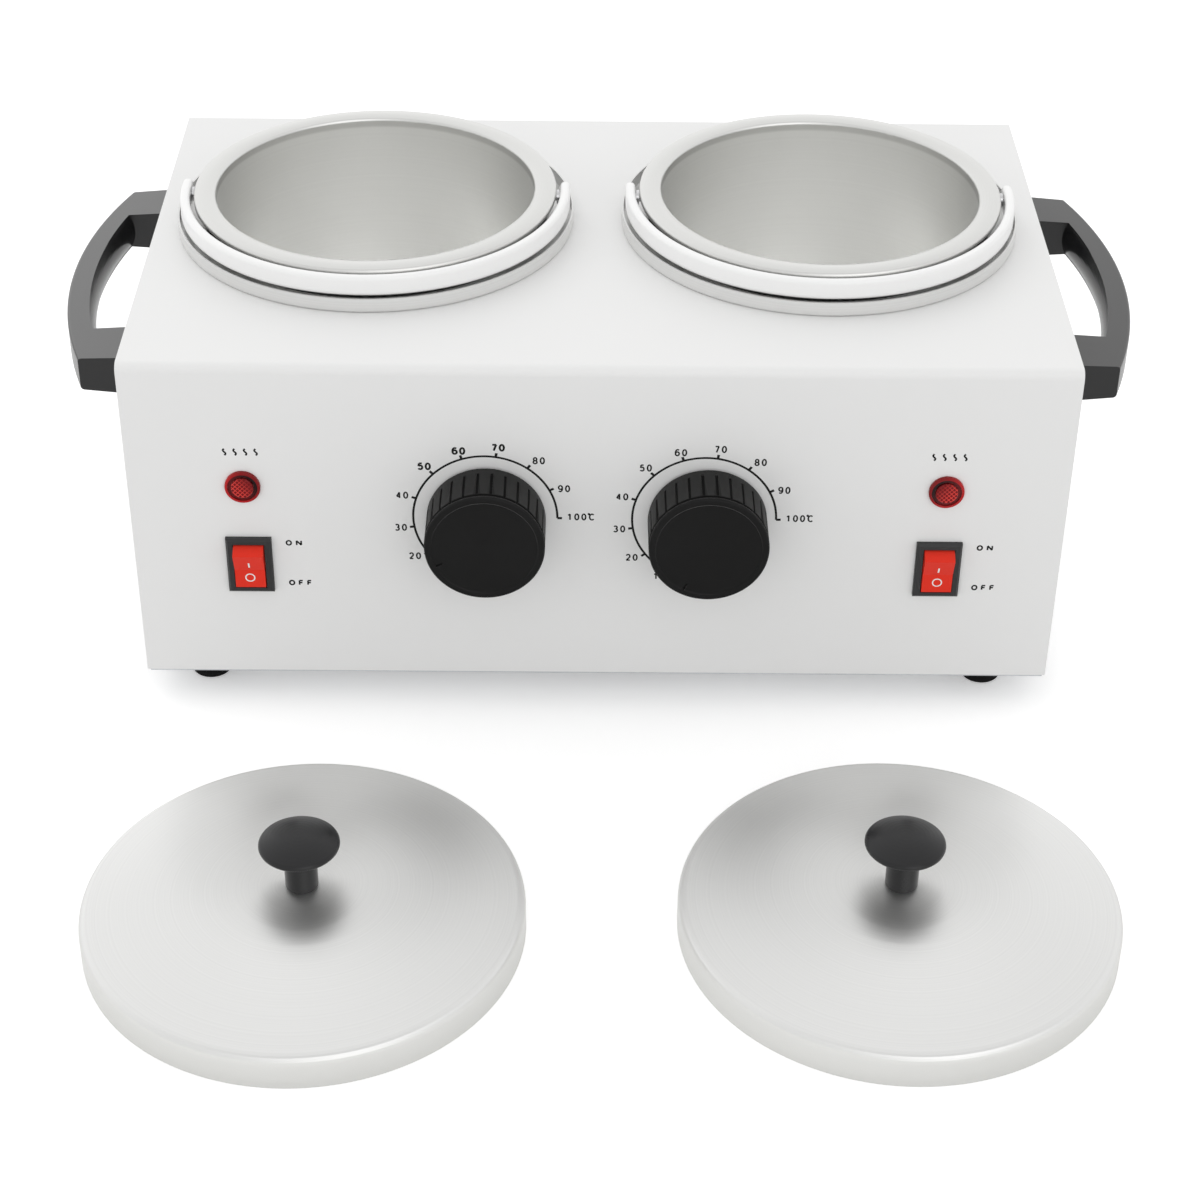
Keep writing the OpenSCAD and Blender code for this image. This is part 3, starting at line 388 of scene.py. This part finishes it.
# The numbers' places from the middle of a scale. Three of the left scale are printed bolder.
scale_words = {
    "10": (-13.9, -22.3),
    "20": (-23.0, -15.0),
    "30": (-27.2, -4.0),
    "40": (-26.4, 8.3),
    "50": (-19.1, 19.2),
    "60": (-8.1, 25.0),
    "70": (4.4, 26.3),
    "80": (17.2, 21.6),
    "90": (25.2, 11.2),
    "100℃": (30.7, 0.5),
}
bold_words = ("50", "60", "70")
plain_print = {"height": 2.7, "stroke": 0.52, "gap": 0.6}
bold_print = {"height": 2.85, "stroke": 0.68, "gap": 0.4, "stretch": 1.12}
for name in ("left", "right"):
    ink = bmesh.new()
    dial_x, dial_z = middle("dial_" + name)
    dial_x -= scale_left[name]
    dial_z -= scale_down
    print_line(ink, bow(dial_x, dial_z, scale_r, scale_r, 0, scale_turn, stride=3), line_w)
    for step in range(scale_steps + 1):
        a = math.radians(scale_turn / scale_steps * step)
        spokes = [
            (dial_x + r * math.cos(a), dial_z + r * math.sin(a)) for r in (scale_r, scale_r + tick)
        ]
        print_line(ink, spokes, tick_w)
    for word, (dx, dz) in scale_words.items():
        print_kind = bold_print if name == "left" and word in bold_words else plain_print
        print_word(ink, word, dial_x + dx, dial_z + dz, **print_kind)
    piece_from("print_scale_" + name, ink, panel_ink, "warmer")

ink = bmesh.new()
switch_print = {"height": 2.2, "stroke": 0.56}
on_up, off_down = 8.0, 7.6
for name, on_x, off_x in (("left", 14.5, 15.8), ("right", 14.8, 15.6)):
    switch_x, switch_z = middle("switch_" + name)
    print_word(ink, "ON", switch_x + on_x, switch_z + on_up, gap=1.2, **switch_print)
    print_word(ink, "OFF", switch_x + off_x, switch_z - off_down, gap=1.1, **switch_print)
piece_from("print_switch_words", ink, panel_ink, "warmer")

ink = bmesh.new()
wave_n, wave_pitch, wave_h, wave_up = 4, 3.3, 2.4, 12.7
wave_swing, wave_w, wave_points = 0.4, 0.6, 12
for name in ("left", "right"):
    lamp_x, lamp_z = middle("lamp_lens_" + name)
    for i in range(wave_n):
        middle_x = lamp_x + (i - (wave_n - 1) / 2) * wave_pitch
        rise = []
        for point in range(wave_points + 1):
            t = point / wave_points
            sway = wave_swing * math.sin(t * 2 * math.pi)
            rise.append((middle_x + sway, lamp_z + wave_up + wave_h * (t - 0.5)))
        print_line(ink, rise, wave_w)
piece_from("print_heat_waves", ink, panel_ink, "warmer")


# ---------------------------------------------------------------- Dials and spindles
# Black moulded knobs with a slotted skirt. The front disc was faced on a lathe, so it
# shows fine rings and a two-armed sheen. Each knob sits on a turned steel spindle.

# Turned lines: rings round an axis, as a lathe or a spinning tool leaves them
turned, given, result = effect(
    "turned_lines",
    {
        "Colour": "Color",
        "Contrast": "Float",
        "Centre": "Vector",
        "Axis": "Vector",
        "Spacing mm": "Float",
        "Roughness": "Float",
        "Unevenness": "Float",
    },
    {"Colour": "Color", "Roughness": "Float", "Height": "Float"},
)
spot = add(turned, "TexCoord").outputs["Object"]
from_centre = add(turned, "VectorMath", {0: spot, 1: given["Centre"]}, operation="SUBTRACT")
along = add(
    turned, "VectorMath", {0: from_centre.outputs[0], 1: given["Axis"]}, operation="DOT_PRODUCT"
).outputs["Value"]
on_axis = add(turned, "VectorMath", {0: given["Axis"], "Scale": along}, operation="SCALE")
off_axis = add(
    turned, "VectorMath", {0: from_centre.outputs[0], 1: on_axis.outputs[0]}, operation="SUBTRACT"
)
radius = add(turned, "VectorMath", {0: off_axis.outputs[0]}, operation="LENGTH").outputs["Value"]
path = calc(turned, "MULTIPLY", calc(turned, "ADD", radius, along), 1000.0)
lines = add(
    turned,
    "TexNoise",
    {"W": calc(turned, "DIVIDE", path, given["Spacing mm"]), "Scale": 1.0, "Detail": 3.0},
    noise_dimensions="1D",
).outputs["Fac"]
tint = add(
    turned,
    "VectorMath",
    {0: given["Colour"], "Scale": varied(turned, 1.0, lines, given["Contrast"])},
    operation="SCALE",
)
turned.links.new(tint.outputs[0], result["Colour"])
gloss = varied(turned, given["Roughness"], lines, given["Unevenness"])
turned.links.new(gloss, result["Roughness"])
turned.links.new(lines, result["Height"])


def turned_finish(
    name, node, axis, colour, roughness, spacing_mm, depth_mm, contrast=0.1, unevenness=0.1,
    **sockets,
):
    """A turned or spun surface, with its rings round the middle of a node."""
    material, tree, shader = new_material(name, **sockets)
    low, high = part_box(node)
    surface = add(tree, "Group", node_tree=turned)
    for label, value in (
        ("Colour", (*colour, 1)),
        ("Contrast", contrast),
        ("Centre", (low + high) / 2),
        ("Axis", {"X": (1, 0, 0), "Y": (0, 1, 0), "Z": (0, 0, 1)}[axis]),
        ("Spacing mm", spacing_mm),
        ("Roughness", roughness),
        ("Unevenness", unevenness),
    ):
        surface.inputs[label].default_value = value
    finish_with(tree, shader, surface, depth_mm)
    if sockets.get("Anisotropic"):
        direction = add(tree, "Tangent", direction_type="RADIAL", axis=axis)
        tree.links.new(direction.outputs[0], shader.inputs["Tangent"])
    return material


def from_middle(tree, node):
    """Where a shaded point lies, as an offset from the middle of a node."""
    low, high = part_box(node)
    spot = add(tree, "TexCoord").outputs["Object"]
    offset = add(tree, "VectorMath", {0: spot, 1: (low + high) / 2}, operation="SUBTRACT")
    return add(tree, "SeparateXYZ", {0: offset.outputs[0]}).outputs


def distance(tree, across, up):
    """The length of two offsets at right angles."""
    squares = (calc(tree, "MULTIPLY", side, side) for side in (across, up))
    return calc(tree, "SQRT", calc(tree, "ADD", *squares))


def tone_over(tree, shader, zone, colour, roughness):
    """Another colour and roughness where the zone is one."""
    new = (("Base Color", "RGBA", (*colour, 1)), ("Roughness", "FLOAT", roughness))
    for label, kind, value in new:
        under = shader.inputs[label].links[0].from_socket
        mixed = add(tree, "Mix", {"Factor": zone, "A": under, "B": value}, data_type=kind)
        tree.links.new(mixed.outputs["Result"], shader.inputs[label])


# Slots, neck and mark, behind the face, are matte and painted darker as painted shade, the skirt's
# pads are greyer, and a painted highlight line runs along the rear edge of the disc. Each pair of
# metres is where one tone fades into the next, inward from the outline or rearward from the front.
pads_in, slots_back, edge_highlight_back, disc_back = (
    (0.0002, 0.0004), (0.0004, 0.0005), (0.0012, 0.0014), (0.0018, 0.0021)
)
for name in ("left", "right"):
    knob_plastic = turned_finish(
        "dial_plastic_" + name,
        "dial_" + name,
        "Y",
        (0.005, 0.005, 0.005),
        roughness=0.36,
        spacing_mm=0.35,
        depth_mm=0.004,
        contrast=0.3,
        Anisotropic=0.6,
        Specular_IOR_Level=0.16,
    )
    tree = knob_plastic.node_tree
    shader = tree.nodes["Principled BSDF"]
    place = from_middle(tree, "dial_" + name)
    low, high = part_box("dial_" + name)
    dial_r, dial_front = (high.x - low.x) / 2, (low.y - high.y) / 2
    inward = calc(tree, "SUBTRACT", dial_r, distance(tree, place["X"], place["Z"]))
    rearward = calc(tree, "SUBTRACT", place["Y"], dial_front)
    slots = blend_over(tree, rearward, *slots_back, at_low=0.0, at_high=1.0)
    pads = blend_over(tree, inward, *pads_in, at_low=1.0, at_high=0.0)
    disc = blend_over(tree, rearward, *disc_back, at_low=1.0, at_high=0.0)
    disc_side = calc(tree, "MULTIPLY", pads, disc)
    edge = blend_over(tree, rearward, *edge_highlight_back, at_low=0.0, at_high=1.0)
    painted_edge_highlight = calc(tree, "MULTIPLY", disc_side, edge)
    # Painted shade: the slots, neck and mark behind the face are painted near black and matte
    tone_over(tree, shader, slots, (0.002, 0.002, 0.002), roughness=0.9)
    tone_over(tree, shader, pads, (0.018, 0.018, 0.0175), roughness=0.5)
    tone_over(tree, shader, disc_side, (0.008, 0.008, 0.008), roughness=0.5)
    # Painted highlight: a lighter line along the rear edge of the disc's side
    tone_over(tree, shader, painted_edge_highlight, (0.06, 0.06, 0.06), roughness=0.4)
    dress(knob_plastic, "dial_" + name)
    dress(
        turned_finish(
            "spindle_steel_" + name, "spindle_" + name, "Y", (0.62, 0.61, 0.58), roughness=0.3,
            spacing_mm=0.2, depth_mm=0.003, Metallic=1.0,
        ),
        "spindle_" + name,
    )


# ---------------------------------------------------------------- Lamps
# Neon pilot lamps: a clear red lens with a flat rim and a boss cut in small pyramids, an
# ivory barrel through the panel, a spring steel clip and a small glass bulb inside.

# The boss's crossed cuts: their pitch, measured across, the fade of the painted highlight lines
# along them, and their depth in metres
cut_pitch_mm, cut_glint_mm, cut_depth = 1.5, (0.1, 0.3), 0.0003

# Where the lens's zones meet, in metres inward from its outline
ring_in, boss_in = (0.0008, 0.001), (0.002, 0.0022)

# Painted light and shade on the lens: painted light on its side away from the panel's middle and
# low down, fading to painted shade towards the middle, and upwards by this share of it. The fade
# starts and ends at these parts of the radius.
fade_up, fade_from, fade_to = 0.7, -0.6, 1.0


def lens_material(name, node, inward_x):
    """Red lens: a bright ring, a hollow in painted shade and a boss with crossed cuts with painted
    highlights, with painted light on one side and painted shade on the other.
    """
    material, tree, shader = new_material(name, Roughness=0.15, IOR=1.49, Specular_IOR_Level=0.2)
    low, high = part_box(node)
    lens_r = (high.x - low.x) / 2
    place = from_middle(tree, node)
    inset = calc(tree, "SUBTRACT", lens_r, distance(tree, place["X"], place["Z"]))
    cuts = []
    for sign in (1.0, -1.0):
        diagonal = calc(tree, "MULTIPLY_ADD", place["Z"], sign, place["X"])
        diagonal_mm = calc(tree, "MULTIPLY", diagonal, 1000.0)
        cuts.append(calc(tree, "PINGPONG", diagonal_mm, cut_pitch_mm / 2))
    pyramids = calc(tree, "MINIMUM", *cuts)
    boss = blend_over(tree, inset, *boss_in, at_low=0.0, at_high=1.0)
    ring = blend_over(tree, inset, *ring_in, at_low=1.0, at_high=0.0)
    relief = calc(tree, "MULTIPLY", pyramids, boss)
    # Painted light and shade across the lens: bright away from the panel's middle and low down
    inward = calc(tree, "MULTIPLY", place["X"], inward_x)
    inward = calc(tree, "MULTIPLY_ADD", place["Z"], fade_up, inward)
    painted_light = blend_over(tree, inward, fade_from * lens_r, fade_to * lens_r, at_low=1.0, at_high=0.0)

    def red(factor, low, high):
        """A red between two others."""
        colours = {"Factor": factor, "A": low, "B": high}
        return add(tree, "Mix", colours, data_type="RGBA").outputs["Result"]

    # Painted highlights along the cuts, dimmed where the painted shade falls
    cut_glint = blend_over(tree, pyramids, *cut_glint_mm, at_low=1.0, at_high=0.0)
    cut_glint = calc(tree, "MULTIPLY", cut_glint, painted_light)
    facets = red(cut_glint, (0.17, 0.002, 0.004, 1), (0.72, 0.05, 0.04, 1))
    # Painted shade in the hollow between the rim and the boss
    shaded_hollow = red(painted_light, (0.012, 0.002, 0.003, 1), (0.16, 0.008, 0.01, 1))
    band = red(painted_light, (0.22, 0.006, 0.008, 1), (0.46, 0.014, 0.016, 1))
    lens_red = red(ring, red(boss, shaded_hollow, facets), band)
    tree.links.new(lens_red, shader.inputs["Base Color"])
    bump = add(tree, "Bump", {"Height": relief, "Distance": cut_depth, "Strength": 0.25})
    tree.links.new(bump.outputs["Normal"], shader.inputs["Normal"])
    return material


for name, inward_x in (("left", 1.0), ("right", -1.0)):
    lens_red = lens_material("lamp_lens_red_" + name, "lamp_lens_" + name, inward_x)
    dress(lens_red, "lamp_lens_" + name)
dress(
    moulded("lamp_ivory", (0.80, 0.76, 0.64), roughness=0.4, grain_mm=0.5, depth_mm=0.004),
    "lamp_bodies",
)
dress(
    moulded(
        "clip_spring_steel", (0.45, 0.46, 0.48), roughness=0.35, grain_mm=0.3, depth_mm=0.002,
        mottle=0.15, unevenness=0.15, Metallic=1.0,
    ),
    "lamp_clips",
)
dress(
    moulded(
        "bulb_glass", (0.95, 0.62, 0.40), roughness=0.08, grain_mm=2.0, depth_mm=0.002,
        Transmission_Weight=0.8,
    ),
    "lamp_bulbs",
)

# ---------------------------------------------------------------- Switches and rockers
# Snap-in rocker switches: a black nylon housing, a glossy red rocker and tinned blades.
# The rocker carries a white bar on its ON half and a white ring on its OFF half.
dress(
    moulded("switch_nylon", (0.012, 0.012, 0.013), roughness=0.38, grain_mm=0.4, depth_mm=0.006),
    "switch_left", "switch_right",
)
dress(
    moulded(
        "rocker_red", (0.78, 0.035, 0.018), roughness=0.3, grain_mm=1.5, depth_mm=0.003,
        Specular_IOR_Level=0.12,
    ),
    "rocker_left", "rocker_right",
)
dress(
    moulded(
        "blade_tin", (0.70, 0.70, 0.69), roughness=0.32, grain_mm=0.4, depth_mm=0.003, mottle=0.12,
        unevenness=0.1, Metallic=1.0,
    ),
    "switch_terminals",
)
rocker_ink = moulded("rocker_ink", (0.86, 0.85, 0.84), roughness=0.4, grain_mm=0.3, depth_mm=0.002)

# A rocker's tilt at rest in degrees, and in millimetres its pivot behind the panel's face and
# the ends of the line that its halves follow
rocker_rest = 12.0
pivot_in = 0.2
crease, tip = Vector((0, 2.9)), Vector((6.97, 4.03))
mark_gap = 0.03


def rocker_mark(name, body, half, from_crease, outlines):
    """Flat shapes on the upper (1) or lower (-1) half of a rocker, this far from its crease."""
    end = Vector((half * tip.x, tip.y))
    slope = (end - crease).normalized()
    out = Vector((-slope.y, slope.x)) * half
    centre = crease + slope * from_crease + out * mark_gap
    switch_x, switch_z = middle(body.replace("rocker", "switch"))
    rocker = (
        Matrix.Translation((switch_x, panel_y, switch_z))
        @ Matrix.Rotation(math.radians(90), 4, "X")
        @ Matrix.Translation((0, 0, pivot_in))
        @ Matrix.Rotation(math.radians(rocker_rest), 4, "X")
    )
    ink = bmesh.new()
    for outline in outlines:
        corners = []
        for x, up in outline:
            spot = centre + slope * up
            corners.append(ink.verts.new((rocker @ Vector((x, spot.x, spot.y))) / 1000))
        ink.faces.new(corners)
    piece_from(name, ink, rocker_ink, body)


bar_w, bar_h, bar_from_crease = 0.54, 2.4, 2.5
ring_r, ring_w, ring_from_crease, ring_n = 1.65, 0.4, 3.15, 40
bar = [(x * bar_w / 2, up * bar_h / 2) for x, up in ((-1, -1), (1, -1), (1, 1), (-1, 1))]
ring = []
for i in range(ring_n):
    a, b = (2 * math.pi * k / ring_n for k in (i, i + 1))
    corners = ((ring_r, a), (ring_r, b), (ring_r - ring_w, b), (ring_r - ring_w, a))
    ring.append([(r * math.cos(t), r * math.sin(t)) for r, t in corners])
for name in ("left", "right"):
    rocker_mark("rocker_bar_" + name, "rocker_" + name, 1, bar_from_crease, [bar])
    rocker_mark("rocker_ring_" + name, "rocker_" + name, -1, ring_from_crease, ring)

# ---------------------------------------------------------------- Pots, ears and pins
# Spun aluminium cups: pale and faintly ringed inside, with painted shade darkening the outside
# wall, and the rolled rim painted darker to tone down its bright reflection. Two ears under the rim
# carry the bail's riveted steel pins.
outward_from, rim_down = (0.0, 0.002), (0.003, 0.0042)
for name in ("left", "right"):
    spun = turned_finish(
        "pot_aluminium_" + name,
        "pot_" + name,
        "Z",
        (0.92, 0.92, 0.905),
        roughness=0.38,
        spacing_mm=0.9,
        depth_mm=0.006,
        contrast=0.05,
        unevenness=0.08,
        Metallic=1.0,
        Anisotropic=0.3,
    )
    tree = spun.node_tree
    low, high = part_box("pot_" + name)
    rim_z = (high.z - low.z) / 2
    place = from_middle(tree, "pot_" + name)
    facing = add(tree, "SeparateXYZ", {0: add(tree, "TexCoord").outputs["Normal"]}).outputs
    outward = calc(tree, "MULTIPLY", place["Y"], facing["Y"])
    outward = calc(tree, "MULTIPLY_ADD", place["X"], facing["X"], outward)
    outside = blend_over(tree, outward, *outward_from, at_low=0.0, at_high=1.0)
    down = calc(tree, "SUBTRACT", rim_z, place["Z"])
    rolled = blend_over(tree, down, *rim_down, at_low=1.0, at_high=0.0)
    # Painted shade: the outside wall and the rolled rim are painted darker than the inside
    tone_over(tree, tree.nodes["Principled BSDF"], outside, (0.74, 0.74, 0.735), roughness=0.36)
    tone_over(tree, tree.nodes["Principled BSDF"], rolled, (0.72, 0.72, 0.705), roughness=0.36)
    dress(spun, "pot_" + name)
dress(
    moulded(
        "ear_aluminium", (0.72, 0.72, 0.73), roughness=0.4, grain_mm=0.5, depth_mm=0.006,
        mottle=0.1, unevenness=0.1, Metallic=1.0,
    ),
    "pot_ears_left", "pot_ears_right",
)
dress(
    moulded(
        "pin_steel", (0.66, 0.66, 0.67), roughness=0.25, grain_mm=0.4, depth_mm=0.003, mottle=0.1,
        unevenness=0.1, Metallic=1.0,
    ),
    "bail_pins_left", "bail_pins_right",
)

# ---------------------------------------------------------------- Bails
# Half rings of white polypropylene, injection-moulded with rounded edges. Each is bored at
# both ends and sprung over the pins of its pot.
dress(
    moulded(
        "bail_polypropylene", (0.92, 0.92, 0.915), roughness=0.3, grain_mm=2.5, depth_mm=0.004,
        mottle=0.02, unevenness=0.06,
    ),
    "bail_left", "bail_right",
)

# ---------------------------------------------------------------- Wells, heaters and straps
# Spun aluminium wells with an upturned collar, held by straps from below. A mica band
# heater, browned by use, clamps round each, and a cutout is pressed to the floor.
for name in ("left", "right"):
    dress(
        turned_finish(
            "well_aluminium_" + name, "well_" + name, "Z", (0.80, 0.80, 0.79), roughness=0.45,
            spacing_mm=0.7, depth_mm=0.006, contrast=0.1, Metallic=0.7, Anisotropic=0.5,
        ),
        "well_" + name,
    )
dress(
    moulded(
        "heater_sheath", (0.42, 0.36, 0.29), roughness=0.45, grain_mm=0.8, depth_mm=0.006,
        mottle=0.5, unevenness=0.25, Metallic=0.8,
    ),
    "heater_band_left", "heater_band_right",
)
dress(
    moulded(
        "strap_zinc", (0.60, 0.61, 0.62), roughness=0.42, grain_mm=3.0, depth_mm=0.004, mottle=0.3,
        unevenness=0.2, Metallic=1.0,
    ),
    "hold_down_left", "hold_down_right",
)
dress(
    moulded("cutout_moulding", (0.03, 0.03, 0.03), roughness=0.45, grain_mm=0.5, depth_mm=0.008),
    "thermal_cutouts",
)

# ---------------------------------------------------------------- Thermostats and sensors
# Capillary thermostats behind the dials: a brown thermoset block, and a copper bulb with
# its thin tube, which has darkened in places.
dress(
    moulded(
        "thermoset_brown", (0.13, 0.075, 0.05), roughness=0.5, grain_mm=0.7, depth_mm=0.01,
        mottle=0.25,
    ),
    "thermostat_left", "thermostat_right",
)
dress(
    moulded(
        "bulb_copper", (0.72, 0.40, 0.28), roughness=0.32, grain_mm=0.5, depth_mm=0.003, mottle=0.4,
        unevenness=0.2, Metallic=1.0,
    ),
    "sensor_left", "sensor_right",
)

# ---------------------------------------------------------------- Lids, knobs and screws
# Spun steel lids, brushed round and round, so that light falls on them in two soft fans.
# A smooth black knob is held from below by a zinc-plated screw and its washer.
skirt_in = (0.0002, 0.0006)
for name in ("left", "right"):
    steel = turned_finish(
        "lid_steel_" + name,
        "lid_" + name,
        "Z",
        (0.80, 0.80, 0.79),
        roughness=0.4,
        spacing_mm=0.5,
        depth_mm=0.004,
        contrast=0.1,
        unevenness=0.1,
        Metallic=1.0,
        Anisotropic=0.65,
    )
    tree = steel.node_tree
    low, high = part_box("lid_" + name)
    place = from_middle(tree, "lid_" + name)
    lid_r = (high.x - low.x) / 2
    inset = calc(tree, "SUBTRACT", lid_r, distance(tree, place["X"], place["Y"]))
    skirt = blend_over(tree, inset, *skirt_in, at_low=1.0, at_high=0.0)
    tone_over(tree, tree.nodes["Principled BSDF"], skirt, (0.82, 0.82, 0.80), roughness=0.42)
    dress(steel, "lid_" + name)
dress(
    moulded(
        "knob_phenolic", (0.008, 0.008, 0.009), roughness=0.28, grain_mm=1.5, depth_mm=0.003,
        Specular_IOR_Level=0.42,
    ),
    "lid_knob_left", "lid_knob_right",
)

# The lids mirror the plain panel, and not the controls on it
for name in ("dial", "lamp_lens", "switch", "rocker", "rocker_bar", "rocker_ring", "print_scale"):
    for side in ("left", "right"):
        bpy.data.objects[name + "_" + side].visible_glossy = False

# ---------------------------------------------------------------- Handles
# One-piece black mouldings with square legs and a bowed grip, glossy from a polished mould and
# screwed to the end panels from inside. Their tops are painted lighter as a painted sheen from the
# light above, the left one's more.
for name, painted_sheen in (("left", 0.13), ("right", 0.058)):
    handle_plastic = moulded(
        "handle_plastic_" + name, (0.006, 0.006, 0.0065), roughness=0.22, grain_mm=1.2,
        depth_mm=0.002, Specular_IOR_Level=0.5,
    )
    tree = handle_plastic.node_tree
    # Painted sheen: faces turned upward are painted lighter, standing in for the light above
    # mirrored in them
    facing = add(tree, "SeparateXYZ", {0: add(tree, "TexCoord").outputs["Normal"]}).outputs["Z"]
    sheen_on_top = blend_over(tree, facing, low=0.6, high=0.9, at_low=0.0, at_high=1.0)
    tone_over(tree, tree.nodes["Principled BSDF"], sheen_on_top, (painted_sheen, painted_sheen, painted_sheen), roughness=0.36)
    dress(handle_plastic, "handle_" + name)

# ---------------------------------------------------------------- Feet
# Four black rubber feet, moulded and dull, with a soft bloom where the rubber has aged. A
# screw holds each to the base plate.
dress(
    moulded(
        "foot_rubber", (0.007, 0.007, 0.007), roughness=0.75, grain_mm=0.6, depth_mm=0.02,
        mottle=0.4, Specular_IOR_Level=0.15,
    ),
    "feet",
)

# ---------------------------------------------------------------- Base plate and fasteners
# Zinc-plated sheet with vent slots closes the casing from below; pan head screws and nuts,
# also zinc-plated, hold the plate, the feet, the handles, the heaters and the knobs.
dress(
    moulded(
        "base_zinc", (0.62, 0.64, 0.66), roughness=0.4, grain_mm=4.0, depth_mm=0.004, mottle=0.35,
        unevenness=0.25, Metallic=1.0,
    ),
    "base_plate",
)
dress(
    moulded(
        "fastener_zinc", (0.66, 0.68, 0.71), roughness=0.28, grain_mm=0.5, depth_mm=0.003,
        mottle=0.15, unevenness=0.15, Metallic=1.0,
    ),
    "base_screws", "foot_screws", "foot_nuts", "handle_screws", "band_screws", "hold_down_nuts",
    "thermostat_screws", "lid_screw_left", "lid_screw_right", "earth_screw",
)

# ---------------------------------------------------------------- Cord inlet and terminals
# A black nylon gland with its nut in the rear panel, and inside an ivory terminal block
# with brass screws.
dress(
    moulded("gland_nylon", (0.02, 0.02, 0.021), roughness=0.45, grain_mm=0.5, depth_mm=0.01),
    "cord_gland", "gland_nut",
)
dress(
    moulded("terminal_nylon", (0.78, 0.76, 0.68), roughness=0.45, grain_mm=0.6, depth_mm=0.006),
    "terminal_block",
)
dress(
    moulded(
        "terminal_brass", (0.72, 0.55, 0.28), roughness=0.3, grain_mm=0.4, depth_mm=0.003,
        mottle=0.15, unevenness=0.1, Metallic=1.0,
    ),
    "terminal_screws",
)
